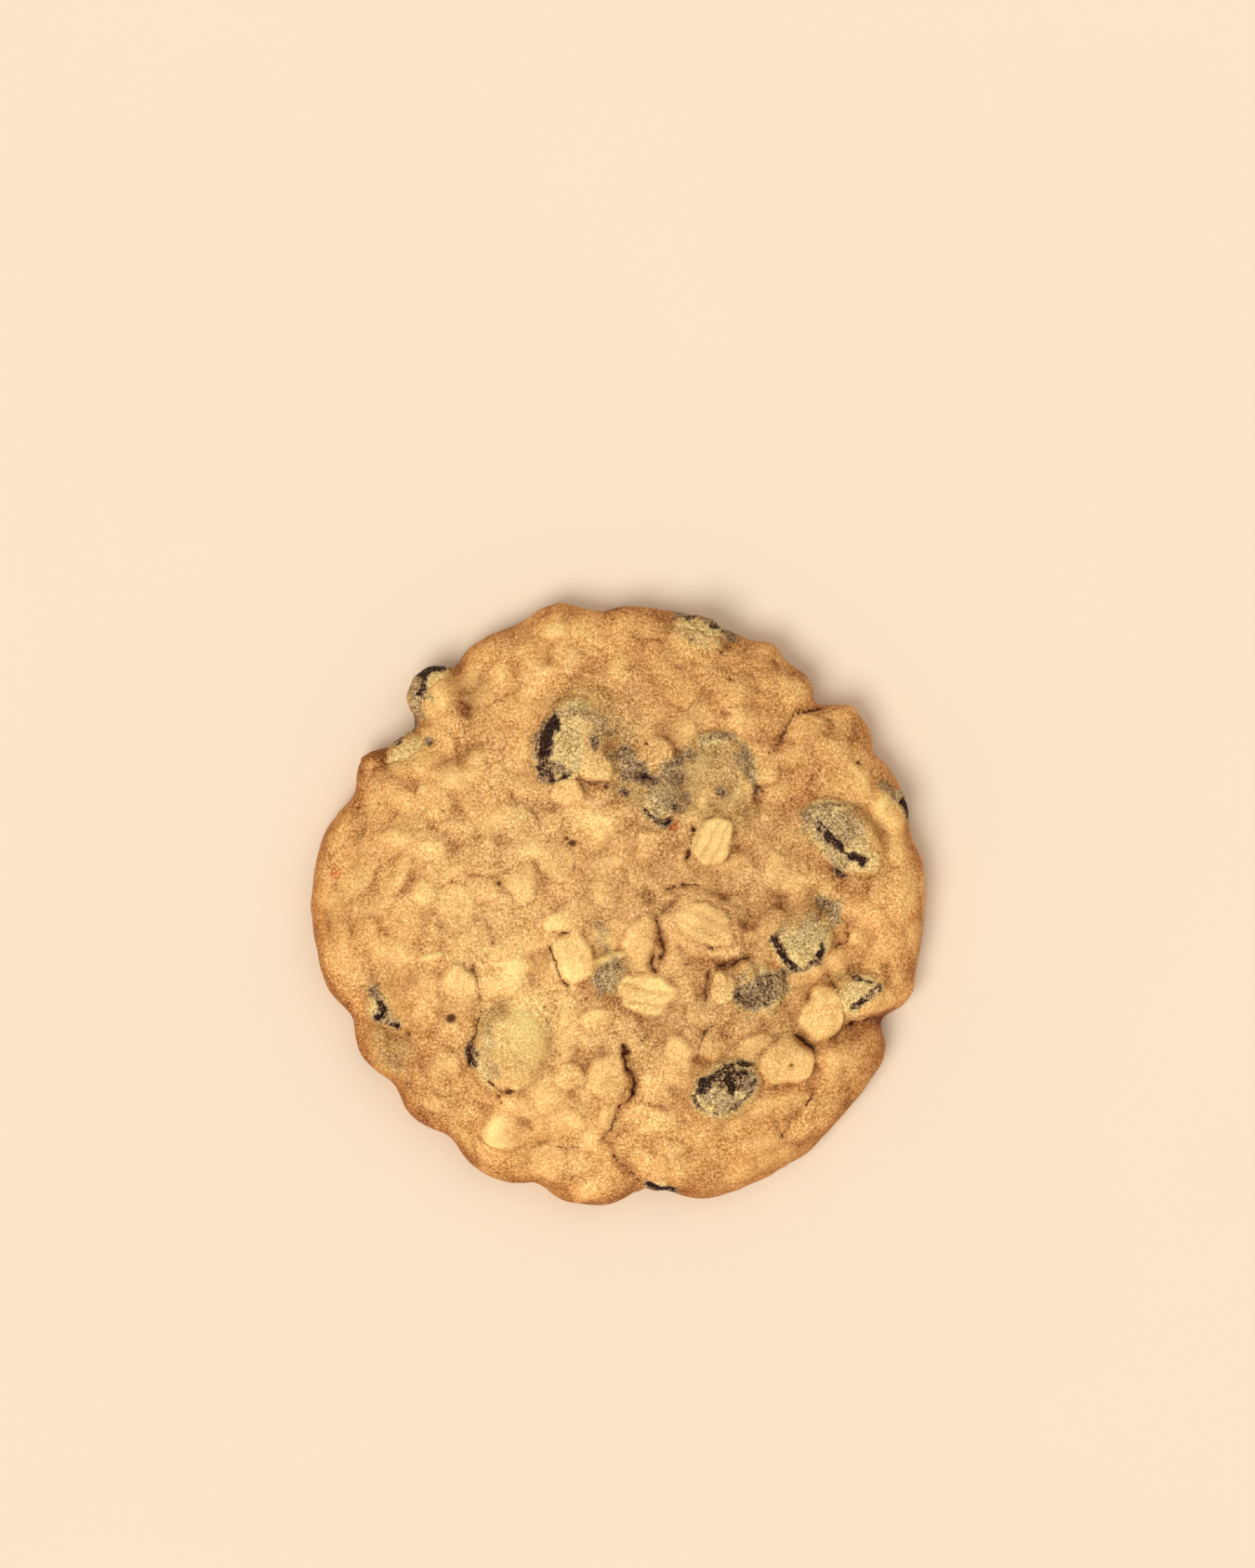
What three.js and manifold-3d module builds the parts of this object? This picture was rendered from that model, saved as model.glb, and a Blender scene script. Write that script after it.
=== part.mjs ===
// An oatmeal raisin cookie in millimetres, +Z up, lying on its flat baked foot on the plane z = 0.
//
// The dough is one baked body: a lobed round with a domed top, a rounded edge and a flat foot. Oat flakes lie
// under its crust as low relief, the larger ones stand out of it with their rims free, and creases run between
// its lobes. Each raisin that shows is a piece of its own in a pocket of the dough, with a thin gap round it.

import * as THREE from "three";
import { mergeVertices } from "three/addons/utils/BufferGeometryUtils.js";
import Module from "manifold-3d";

const wasm = await Module();
wasm.setup();

// ---------------------------------------------------------------- driving dimensions

const RADIUS = 43.7; // mean radius of the outline, before the relief
const DOME = 12.6; // height of the dough's top at its middle, before the relief
const RIM = 3.8; // height at which the cookie is widest
const SHOULDER = 5; // exponent of the top's curve: higher is flatter, with a tighter shoulder
const FOOT = 0.93; // radius of the flat foot, as a share of the outline's
const FOOT_DENSITY = 0.1; // triangles on the flat foot, as a share of those on the top
const DOUGH_DETAIL = 17; // subdivision of the dough's mesh
const RAISIN_SIDES = 12; // faces round a raisin
const RAISIN_RINGS = 7; // faces from end to end of a raisin
const POCKET_GAP = 0.3; // free space between a raisin and the dough
const FREE_RISE = 0.6; // flakes that stand out this far have a free rim, and the others only lift the crust
const FLAKE_SIDES = 10; // faces round a free flake
const FLAKE_THICKNESS = 1.5; // a soaked and baked flake, with the dough that clings under it
const BURIED_FLAKES = 150; // flakes that show only as relief in the crust
const BURIED_RISE = 0.55; // how far a buried flake lifts the crust
const SIDE_RELIEF = 0.6; // relief round the rim, as a share of that on the top
const CREASE_WIDTH = 1.5; // half width of a crease, at a third of its depth

// Lobes and notches of the outline: direction and half width in degrees, and how far each stands out in mm.
const LOBES = [
  { at: 10, spread: 30, out: 1 },
  { at: 14, spread: 5.5, out: -1.3 },
  { at: 31, spread: 2.5, out: -1.1 },
  { at: 46, spread: 3, out: -2.3 },
  { at: 60, spread: 3, out: 1.5 },
  { at: 60, spread: 9, out: -1.2 },
  { at: 94, spread: 2.5, out: -0.8 },
  { at: 103, spread: 3.5, out: 1 },
  { at: 125, spread: 2.5, out: -1.5 },
  { at: 130, spread: 5, out: 1.4 },
  { at: 142, spread: 6.5, out: -4.5 },
  { at: 158, spread: 6, out: -2.3 },
  { at: 175, spread: 25.5, out: 1.2 },
  { at: 203, spread: 4.5, out: -1.6 },
  { at: 218, spread: 4.5, out: -1.7 },
  { at: 234, spread: 4.5, out: -1.7 },
  { at: 254, spread: 3.5, out: -1.4 },
  { at: 276, spread: 5.5, out: -2.7 },
  { at: 304, spread: 30, out: 1.2 },
  { at: 336, spread: 4, out: -2.3 },
];

// Raisins that show: middle in plan, length, width and height, turn of the length about Z in degrees, and how
// far the top stands above the dough. Those with z lie in the edge, with their middle at that height.
const RAISINS = [
  { name: "raisin_ear", x: -6.6, y: 24, length: 13.4, width: 10.6, height: 7.4, turn: 76, proud: 1.5 },
  { name: "raisin_wide", x: 14.2, y: 19.6, length: 12, width: 9.8, height: 7, turn: -60, proud: 1.2 },
  { name: "raisin_bridge", x: 6.2, y: 15.4, length: 7.6, width: 6, height: 5.4, turn: 60, proud: 0.7 },
  { name: "raisin_slotted", x: 32.5, y: 9.7, length: 14.4, width: 9.2, height: 6.8, turn: -45, proud: 1.6 },
  { name: "raisin_folded", x: 26.4, y: -4.7, length: 11, width: 9.4, height: 6.8, turn: 40, proud: 1.3 },
  { name: "raisin_sunken", x: 20.8, y: -12.2, length: 8.4, width: 7, height: 5.6, turn: 75, proud: 0.5 },
  { name: "raisin_hooked", x: 34.7, y: -12.9, length: 8.4, width: 6.6, height: 5.8, turn: 40, proud: 0.9 },
  { name: "raisin_bare", x: 15.3, y: -26.4, length: 11.6, width: 9.2, height: 7, turn: 28, proud: 1.5 },
  { name: "raisin_small", x: -1.5, y: -9.8, length: 6.6, width: 5.6, height: 5, turn: 42, proud: 0.6 },
  { name: "raisin_left", x: -34.2, y: -15.3, length: 6.6, width: 4.8, height: 5, turn: -50, proud: 0.5 },
  { name: "raisin_cloaked", x: -15.8, y: -21.2, length: 13, width: 10.8, height: 7.2, turn: 64, proud: 1.1 },
  { name: "raisin_corner", x: -27.2, y: 31.1, length: 8.4, width: 6.6, height: 6.2, turn: 62, z: 5.7 },
  { name: "raisin_shelf", x: -30, y: 21.8, length: 8.6, width: 6.8, height: 6, turn: 30, z: 6.6 },
  { name: "raisin_top_edge", x: 11.5, y: 39, length: 9, width: 6, height: 6, turn: -18, z: 6.4 },
  { name: "raisin_right_edge", x: 39.6, y: 13.8, length: 6.8, width: 5, height: 5, turn: -71, z: 5.6 },
  { name: "raisin_low_edge", x: 6, y: -38.9, length: 7.6, width: 5.6, height: 5.2, turn: 8, z: 5.2 },
];
const MOUND_REACH = 1.25; // reach of the swelling over a raisin, in raisin sizes
const MOUND_RISE = 0.9; // height of that swelling

// Oat flakes that show one by one: middle in plan, length, width, turn of the length about Z, and the rise of
// the top face over the crust.
const FLAKES = [
  { x: 13.4, y: 9.4, length: 8.4, width: 6.1, turn: 62, rise: 0.9 },
  { x: 12.4, y: -3.1, length: 11.4, width: 7.4, turn: -18, rise: 0.8 },
  { x: 3.8, y: -12.8, length: 9.2, width: 6.5, turn: -8, rise: 0.9 },
  { x: -7, y: -6.2, length: 10.4, width: 6.4, turn: 84, rise: 0.7 },
  { x: 28.6, y: -14.8, length: 10, width: 8.2, turn: 80, rise: 1 },
  { x: 24, y: -23, length: 9.2, width: 8, turn: 30, rise: 0.9 },
  { x: -7.7, y: 16.6, length: 5, width: 4.2, turn: 0, rise: 0.7 },
  { x: -16.4, y: -32.6, length: 6.2, width: 5.4, turn: 0, rise: 0.7 },
  { x: 8.8, y: -23.2, length: 7.6, width: 5, turn: 85, rise: 0.7 },
  { x: 14.9, y: -11.6, length: 5.2, width: 4.6, turn: 0, rise: 0.7 },
  { x: -4.5, y: 8, length: 6.8, width: 6, turn: 30, rise: 0.5 },
  { x: 20.4, y: 13.4, length: 7, width: 3.8, turn: -62, rise: 0.55 },
  { x: 23.2, y: 5.8, length: 8.4, width: 7.2, turn: 30, rise: 0.5 },
  { x: -7.6, y: -32.6, length: 6, width: 5, turn: 20, rise: 0.55 },
  { x: -25.2, y: -24.4, length: 6.6, width: 5, turn: 80, rise: 0.5 },
  { x: 0.4, y: -2.4, length: 7, width: 5.4, turn: 30, rise: 0.4 },
  { x: -2.8, y: -16.4, length: 4.8, width: 4, turn: 70, rise: 0.5 },
  { x: -13.4, y: -15.6, length: 7.4, width: 6, turn: 60, rise: 0.5 },
  { x: -24, y: -10.6, length: 8.2, width: 6, turn: 80, rise: 0.55 },
  { x: -31.4, y: -7, length: 8.6, width: 7, turn: 100, rise: 0.4 },
  { x: 5.2, y: -32, length: 7.4, width: 4.8, turn: 55, rise: 0.55 },
  { x: -1.6, y: -26.2, length: 7.2, width: 5.8, turn: 80, rise: 0.5 },
  { x: 30.8, y: 22.8, length: 9.6, width: 7.6, turn: -35, rise: 0.45 },
  { x: 19.6, y: 30.4, length: 8, width: 6.2, turn: 10, rise: 0.45 },
  { x: -25.5, y: 25.9, length: 7.6, width: 6.6, turn: 40, rise: 0.55 },
  { x: -33.4, y: 15.6, length: 6.6, width: 4.8, turn: 50, rise: 0.45 },
  { x: -12.9, y: 8.4, length: 7, width: 4.2, turn: -40, rise: 0.45 },
  { x: -22.4, y: 18.8, length: 7.6, width: 5.2, turn: 25, rise: 0.45 },
];

// Creases and cracks between the lobes, in plan, with the depth of each.
const CREASES = [
  { depth: 1.5, path: [[0.7, -20.3], [2.2, -26], [-0.9, -31.3], [-1.9, -34], [1.6, -39]] },
  { depth: 1.6, path: [[39, -16.6], [33.6, -18.6], [28.9, -20.6], [26.6, -19.4]] },
  { depth: 1, path: [[29.3, -23.8], [28.6, -26.6], [26, -29.6], [24.2, -33]] },
  { depth: 1, path: [[31, 29.4], [25.2, 27.9], [22, 22.4]] },
  { depth: 1, path: [[3.8, 2.2], [6.1, -5.1], [5.2, -8.6]] },
  { depth: 0.8, path: [[-36.6, -4.6], [-36, -10.4], [-33.4, -18.6]] },
  { depth: 0.7, path: [[-20.9, -6], [-20.1, -14.4]] },
  { depth: 0.8, path: [[-22.4, 29], [-21.4, 23.6], [-26, 18.4], [-34, 16.4]] },
];

// ---------------------------------------------------------------- outline, section and relief

const TAU = 2 * Math.PI;
const radians = (degrees) => THREE.MathUtils.degToRad(degrees);
const smooth = (edge0, edge1, v) => THREE.MathUtils.smoothstep(v, edge0, edge1);

// Radius of the outline in a direction given in radians.
function outline(angle) {
  return LOBES.reduce((radius, { at, spread, out }) => {
    const away = Math.atan2(Math.sin(angle - radians(at)), Math.cos(angle - radians(at)));
    return radius + out * Math.exp(-((away / radians(spread)) ** 2));
  }, RADIUS);
}

// Height of the smooth top at a share of the outline's radius.
const topHeight = (share) => RIM + (DOME - RIM) * Math.sqrt(Math.max(0, 1 - share ** SHOULDER));

// Points down the section, from the middle of the top over the rim to the middle of the foot. Each has its share
// of the radius, its height, and the mesh area that lies above it.
const TOP_STEPS = 240;
const UNDER_STEPS = 24;
const FOOT_STEPS = 40;
const section = [];
for (let i = 0; i <= TOP_STEPS; i++) {
  const share = 1 - (1 - i / TOP_STEPS) ** 2;
  section.push({ share, z: topHeight(share), density: 1 });
}
for (let i = 1; i <= UNDER_STEPS; i++) {
  const turn = (i / UNDER_STEPS) * (Math.PI / 2);
  section.push({ share: FOOT + (1 - FOOT) * Math.cos(turn), z: RIM * (1 - Math.sin(turn)), density: 1 });
}
for (let i = 1; i <= FOOT_STEPS; i++)
  section.push({ share: FOOT * (1 - i / FOOT_STEPS), z: 0, density: FOOT_DENSITY });
section[0].area = 0;
for (let i = 1; i < section.length; i++) {
  const [a, b] = [section[i - 1], section[i]];
  const run = Math.hypot((b.share - a.share) * RADIUS, b.z - a.z);
  b.area = a.area + ((a.share + b.share) / 2) * run * b.density;
}
const ALL_AREA = section[section.length - 1].area;
const CRUST_AREA = section[TOP_STEPS + UNDER_STEPS].area / ALL_AREA; // top and side, as a share of the mesh

// Place, outward direction and crust weight on the smooth skin, at a share of the mesh area and a direction.
function skin(area, angle) {
  const wanted = area * ALL_AREA;
  let i = section.findIndex((p) => p.area >= wanted);
  i = i < 1 ? 1 : i;
  const [a, b] = [section[i - 1], section[i]];
  const t = THREE.MathUtils.clamp((wanted - a.area) / (b.area - a.area || 1), 0, 1);
  const share = a.share + t * (b.share - a.share);
  const z = a.z + t * (b.z - a.z);
  const radius = outline(angle);
  const lean = Math.atan2(b.share * RADIUS - a.share * RADIUS, a.z - b.z); // 90 degrees faces straight up
  return {
    place: new THREE.Vector3(share * radius * Math.cos(angle), share * radius * Math.sin(angle), z),
    out: new THREE.Vector3(Math.cos(lean) * Math.cos(angle), Math.cos(lean) * Math.sin(angle), Math.sin(lean)),
    crust: (1 - (1 - SIDE_RELIEF) * smooth(0.88, 1, share)) * (i <= TOP_STEPS ? 1 : (z / RIM) ** 2),
  };
}

// A repeatable draw from 0 to 1 for one property of one flake.
function draw(index, property) {
  const v = Math.sin(index * 12.9898 + property * 78.233) * 43758.5453;
  return v - Math.floor(v);
}

// Buried flakes, spread evenly over top and side by the golden angle.
const GOLDEN_ANGLE = Math.PI * (3 - Math.sqrt(5));
const buried = Array.from({ length: BURIED_FLAKES }, (_, i) => {
  const { place, out } = skin((CRUST_AREA * (i + 0.5)) / BURIED_FLAKES, i * GOLDEN_ANGLE + 0.5 * draw(i, 1));
  const along = new THREE.Vector3(-Math.sin(i), Math.cos(i), 0).projectOnPlane(out).normalize();
  return {
    place,
    out,
    along,
    across: new THREE.Vector3().crossVectors(out, along),
    length: 5.4 + 3 * draw(i, 2),
    width: 4.2 + 2 * draw(i, 3),
    rise: BURIED_RISE * (0.5 + 0.9 * draw(i, 4)),
  };
});

// Slow waves in the dough's surface: wavelength, direction in degrees, and height.
const WAVES = [
  { length: 31, towards: 20, height: 0.28 },
  { length: 23, towards: 95, height: 0.26 },
  { length: 16, towards: 150, height: 0.22 },
  { length: 12, towards: 55, height: 0.16 },
];

const unevenness = (x, y) =>
  WAVES.reduce((sum, { length, towards, height }, i) => {
    const along = x * Math.cos(radians(towards)) + y * Math.sin(radians(towards));
    return sum + height * Math.sin((TAU * along) / length + i);
  }, 0);

// Distance in plan from a point to a line of points.
function distanceTo(path, x, y) {
  const point = new THREE.Vector2(x, y);
  let nearest = Infinity;
  for (let i = 1; i < path.length; i++) {
    const [a, b] = [new THREE.Vector2(...path[i - 1]), new THREE.Vector2(...path[i])];
    const run = b.clone().sub(a);
    const t = THREE.MathUtils.clamp(point.clone().sub(a).dot(run) / run.lengthSq(), 0, 1);
    nearest = Math.min(nearest, a.addScaledVector(run, t).distanceTo(point));
  }
  return nearest;
}

// How far the crust stands out from the smooth skin at a place on it.
function relief(place) {
  const { x, y } = place;
  let flake = 0;
  for (const f of buried) {
    const offset = place.clone().sub(f.place);
    const reach = Math.hypot(offset.dot(f.along) / f.length, offset.dot(f.across) / f.width) * 2;
    if (Math.abs(offset.dot(f.out)) < f.width)
      flake = Math.max(flake, f.rise * (1 - smooth(0.7, 1.25, reach)));
  }
  for (const f of FLAKES.filter(({ rise }) => rise < FREE_RISE)) {
    const offset = new THREE.Vector2(x - f.x, y - f.y).rotateAround(new THREE.Vector2(), -radians(f.turn));
    const reach = Math.hypot(offset.x / f.length, offset.y / f.width) * 2;
    flake = Math.max(flake, f.rise * (1 - smooth(0.8, 1.15, reach)));
  }
  let mound = 0;
  for (const r of RAISINS.filter((raisin) => !raisin.z)) {
    const reach = Math.hypot(x - r.x, y - r.y) / ((r.length + r.width) / 4);
    mound = Math.max(mound, MOUND_RISE * (1 - smooth(0.5, MOUND_REACH, reach)));
  }
  let crease = 0;
  for (const { depth, path } of CREASES)
    crease = Math.max(crease, depth * Math.exp(-((distanceTo(path, x, y) / CREASE_WIDTH) ** 2)));
  return unevenness(x, y) + flake + mound - crease;
}

// Height of the relieved crust straight above a point in plan.
function crustHeight(x, y) {
  const share = Math.hypot(x, y) / outline(Math.atan2(y, x));
  const z = topHeight(Math.min(share, 1));
  return z + relief(new THREE.Vector3(x, y, z));
}

// ---------------------------------------------------------------- solids

// A three.js geometry as a manifold-3d solid.
function solidOf(geometry) {
  const bare = geometry.clone();
  bare.deleteAttribute("normal");
  bare.deleteAttribute("uv");
  const merged = mergeVertices(bare, 1e-4);
  const mesh = new wasm.Mesh({
    numProp: 3,
    vertProperties: merged.attributes.position.array,
    triVerts: new Uint32Array(merged.index.array),
  });
  return new wasm.Manifold(mesh);
}

// A manifold-3d solid as a three.js geometry.
function geometryOf(solid) {
  const { numProp, vertProperties, triVerts } = solid.getMesh();
  const positions = new Float32Array((vertProperties.length / numProp) * 3);
  for (let i = 0; i < positions.length / 3; i++)
    positions.set(vertProperties.subarray(i * numProp, i * numProp + 3), i * 3);
  const geometry = new THREE.BufferGeometry();
  geometry.setAttribute("position", new THREE.BufferAttribute(positions, 3));
  geometry.setIndex(new THREE.BufferAttribute(triVerts, 1));
  geometry.computeVertexNormals();
  return geometry;
}

// Moves each vertex of a geometry by a function of its place.
function shape(geometry, move) {
  const positions = geometry.attributes.position;
  const point = new THREE.Vector3();
  for (let i = 0; i < positions.count; i++) {
    move(point.fromBufferAttribute(positions, i));
    positions.setXYZ(i, point.x, point.y, point.z);
  }
  return geometry;
}

// The dough's body: an even mesh of a ball, laid over the skin and pushed out by the relief.
function doughBody() {
  return shape(new THREE.IcosahedronGeometry(1, DOUGH_DETAIL), (point) => {
    const { place, out, crust } = skin((1 - point.z) / 2, Math.atan2(point.y, point.x));
    point.copy(place).addScaledVector(out, crust * relief(place));
    if (crust === 0) point.z = 0;
  });
}

// One free oat flake: a thin rounded plate with a shallow middle, longer than wide.
function flakePlate({ x, y, length, width, turn, rise }) {
  const half = FLAKE_THICKNESS / 2;
  const profile = [
    [0, -half],
    [1, -half * 0.2],
    [0.75, half],
    [0, half * 0.7],
  ];
  const plate = new THREE.LatheGeometry(profile.map(([r, z]) => new THREE.Vector2(r, z)), FLAKE_SIDES);
  plate.rotateX(Math.PI / 2);
  plate.scale(length / 2, width / 2, 1);
  const reach = (length + width) / 5;
  const slope = (dx, dy) =>
    (crustHeight(x + dx * reach, y + dy * reach) - crustHeight(x - dx * reach, y - dy * reach)) / (2 * reach);
  const up = new THREE.Vector3(-slope(1, 0), -slope(0, 1), 1).normalize();
  const lie = new THREE.Quaternion().setFromUnitVectors(new THREE.Vector3(0, 0, 1), up);
  plate.rotateZ(radians(turn));
  plate.applyQuaternion(lie);
  return plate.translate(x, y, crustHeight(x, y) + rise - half);
}

// One raisin: an egg-shaped berry with furrows along it, made larger all round by a margin.
function raisinBody(raisin, margin = 0) {
  const { x, y, length, width, height, turn, proud, z } = raisin;
  const half = new THREE.Vector3(length / 2 + margin, width / 2 + margin, height / 2 + margin);
  const body = new THREE.SphereGeometry(1, RAISIN_SIDES, RAISIN_RINGS).rotateZ(-Math.PI / 2);
  shape(body, (point) => {
    const around = Math.atan2(point.z, point.y);
    const furrow = 1 - 0.07 * (1 - point.x ** 2) * (1 + Math.cos(4 * around + length));
    const blunt = 1 - 0.1 * point.x;
    point.set(point.x * half.x, point.y * half.y * furrow * blunt, point.z * half.z * furrow * blunt);
  });
  body.rotateZ(radians(turn));
  return body.translate(x, y, z ?? crustHeight(x, y) + proud - height / 2);
}

// The dough with its free flakes fused on and a pocket cut for each raisin, in one piece.
function dough() {
  let solid = solidOf(doughBody());
  for (const flake of FLAKES.filter(({ rise }) => rise >= FREE_RISE))
    solid = solid.add(solidOf(flakePlate(flake)));
  for (const raisin of RAISINS) solid = solid.subtract(solidOf(raisinBody(raisin, POCKET_GAP)));
  const pieces = solid.decompose().sort((a, b) => b.volume() - a.volume());
  return geometryOf(pieces[0]);
}

// ---------------------------------------------------------------- the cookie

const crustMaterial = new THREE.MeshStandardMaterial({ color: 0xd9a060, roughness: 0.85, metalness: 0 });
const raisinMaterial = new THREE.MeshStandardMaterial({ color: 0x33241f, roughness: 0.5, metalness: 0 });

const cookie = new THREE.Group();

function addPiece(name, geometry, material) {
  const mesh = new THREE.Mesh(geometry, material);
  mesh.name = name;
  cookie.add(mesh);
}

addPiece("dough", dough(), crustMaterial);
for (const raisin of RAISINS) addPiece(raisin.name, raisinBody(raisin), raisinMaterial);

export default cookie;
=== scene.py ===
import math

import bpy
import numpy as np
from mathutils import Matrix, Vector, noise


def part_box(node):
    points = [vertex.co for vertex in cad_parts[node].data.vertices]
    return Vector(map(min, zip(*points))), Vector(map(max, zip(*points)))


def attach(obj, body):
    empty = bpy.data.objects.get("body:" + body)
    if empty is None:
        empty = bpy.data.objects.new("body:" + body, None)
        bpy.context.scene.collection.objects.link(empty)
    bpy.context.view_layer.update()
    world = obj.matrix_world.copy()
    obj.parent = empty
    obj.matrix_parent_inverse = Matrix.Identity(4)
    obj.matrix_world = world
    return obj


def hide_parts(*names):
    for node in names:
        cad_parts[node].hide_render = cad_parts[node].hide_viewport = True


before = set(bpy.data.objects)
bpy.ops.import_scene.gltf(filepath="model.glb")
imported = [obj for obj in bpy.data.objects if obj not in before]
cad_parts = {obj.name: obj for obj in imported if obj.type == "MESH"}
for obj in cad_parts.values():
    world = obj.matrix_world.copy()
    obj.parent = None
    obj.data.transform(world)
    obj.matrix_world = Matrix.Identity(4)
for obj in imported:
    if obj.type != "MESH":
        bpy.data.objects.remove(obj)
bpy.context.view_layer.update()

# ---------------------------------------------------------------- the baked dough
# One spoonful of oat dough that slumped and set in the oven: a lobed round with a low dome, a rounded rim
# and a flat foot. It is one skin, laid over the cookie's section from the top's middle to the foot's, and
# then raised and dented as crust is. Its lengths are in millimetres.

MM = 0.001
# Radius, height of the middle, height where the rim is widest, how square the shoulder is, the foot's share
# of the radius, how closely the foot is meshed beside the top, and how much relief the side keeps.
RADIUS = 43.9
DOME = 12.6
RIM = 3.8
SHOULDER = 5
FOOT = 0.93
FOOT_DENSITY = 0.3
SIDE_RELIEF = 0.6
# Steps of the section along the top, round below the rim and along the foot.
TOP_STEPS = 1200
UNDER_STEPS = 60
FOOT_STEPS = 200

# Lobes and notches of the outline: direction and half width in degrees, and how far each stands out.
LOBES = [
    (10, 30, 1), (14, 5.5, -1.3), (31, 2.5, -1.1), (46, 3, -2.3), (60, 3, 1.5), (60, 9, -1.2),
    (94, 2.5, -0.8), (103, 3.5, 1), (125, 2.5, -1.5), (130, 5, 1.4), (142, 6.5, -4.5), (158, 6, -2.3),
    (175, 25.5, 1.2), (203, 4.5, -1.6), (218, 4.5, -1.7), (234, 4.5, -1.7), (254, 3.5, -1.4),
    (276, 5.5, -2.7), (304, 30, 1.2), (336, 4, -2.3), (190, 22, 0.4), (238, 8, 0.5), (316, 16, 0.4),
    (96, 4, -0.4), (139, 3, -0.5), (45, 3, -0.4),
]


def smooth(low, high, value):
    """0 below low, 1 above high and an S-curve between them."""
    t = np.clip((value - low) / (high - low), 0, 1)
    return t * t * (3 - 2 * t)


def bell(away, width):
    """1 in the middle, falling off smoothly to both sides."""
    return np.exp(-((away / width) ** 2))


def outline(angle):
    """Radius of the cookie in a direction given in radians."""
    radius = np.full_like(angle, RADIUS)
    for at, spread, out in LOBES:
        away = np.remainder(np.degrees(angle) - at + 180, 360) - 180
        radius += out * bell(away, spread)
    return radius


# The section as a line from the top's middle to the foot's, and the area that each stretch of it sweeps.
top_share = 1 - (1 - np.linspace(0, 1, TOP_STEPS)) ** 2
top_height = RIM + (DOME - RIM) * np.sqrt(1 - top_share**SHOULDER)
under_turn = np.linspace(0, math.pi / 2, UNDER_STEPS)[1:]
under_share = FOOT + (1 - FOOT) * np.cos(under_turn)
under_height = RIM * (1 - np.sin(under_turn))
foot_share = np.linspace(FOOT, 0, FOOT_STEPS)[1:]
share_line = np.concatenate([top_share, under_share, foot_share])
height_line = np.concatenate([top_height, under_height, 0 * foot_share])
crust_line = np.concatenate([0 * top_share + 1, (under_height / RIM) ** 2, 0 * foot_share])
step_share = np.diff(share_line) * RADIUS
step_height = np.diff(height_line)
density = np.where(np.arange(step_share.size) >= TOP_STEPS + under_share.size - 1, FOOT_DENSITY, 1)
step_area = (share_line[1:] + share_line[:-1]) / 2 * np.hypot(step_share, step_height) * density
area_line = np.concatenate([[0], np.cumsum(step_area)])
lean_line = np.arctan2(np.gradient(share_line * RADIUS), -np.gradient(height_line))


def skin(area, angle):
    """Place, outward direction, share of the radius and crust (0 on the foot) at a share of the area."""
    wanted = area * area_line[-1]
    share = np.interp(wanted, area_line, share_line)
    lean = np.interp(wanted, area_line, lean_line)
    radius = share * outline(angle)
    height = np.interp(wanted, area_line, height_line)
    place = np.stack([radius * np.cos(angle), radius * np.sin(angle), height], axis=-1)
    out = np.stack([np.cos(lean) * np.cos(angle), np.cos(lean) * np.sin(angle), np.sin(lean)], axis=-1)
    crust = np.interp(wanted, area_line, crust_line) * (1 - (1 - SIDE_RELIEF) * smooth(0.88, 1, share))
    return place, out, share, crust


def clouds(points, size, octaves=3, shift=0):
    """Soft random swells between about -1 and 1, of a given size, at each point."""
    offset = Vector((shift, 2 * shift, -shift))
    return np.array([noise.fractal(Vector(p) / size + offset, 1, 2, octaves) for p in points.tolist()])


def along_across(dx, dy, degrees):
    """An offset in plan, measured along and across a direction given in degrees."""
    c, s = math.cos(math.radians(degrees)), math.sin(math.radians(degrees))
    return dx * c + dy * s, dy * c - dx * s


def ball(name, cuts):
    """Adds a cube cut into squares and blown up to a ball, and returns it with each point's direction."""
    bpy.ops.object.select_all(action="DESELECT")
    bpy.ops.mesh.primitive_cube_add(size=2)
    made = bpy.context.object
    made.name = made.data.name = name
    bpy.ops.object.mode_set(mode="EDIT")
    bpy.ops.mesh.select_all(action="SELECT")
    for count in cuts:
        bpy.ops.mesh.subdivide(number_cuts=count - 1)
    bpy.ops.object.mode_set(mode="OBJECT")
    points = np.empty(len(made.data.vertices) * 3)
    made.data.vertices.foreach_get("co", points)
    even = np.tan(points.reshape(-1, 3) * math.pi / 4)
    return made, even / np.linalg.norm(even, axis=1, keepdims=True)


def put(piece, points):
    """Writes a piece's points, given in millimetres."""
    piece.data.vertices.foreach_set("co", (points * MM).ravel())
    piece.data.update()


def note(piece, name, values):
    """Keeps a value for each point of a piece, which its material reads."""
    layer = piece.data.attributes.new(name, "FLOAT", "POINT")
    layer.data.foreach_set("value", np.clip(values, 0, 1).astype(np.float32))


DOUGH_CUTS = (16, 8)
dough, direction = ball("baked_dough", DOUGH_CUTS)
place, out, share, crust = skin((1 - direction[:, 2]) / 2, np.arctan2(direction[:, 1], direction[:, 0]))
x, y, z = place.T
topside = smooth(0.5, 4, z)

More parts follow.
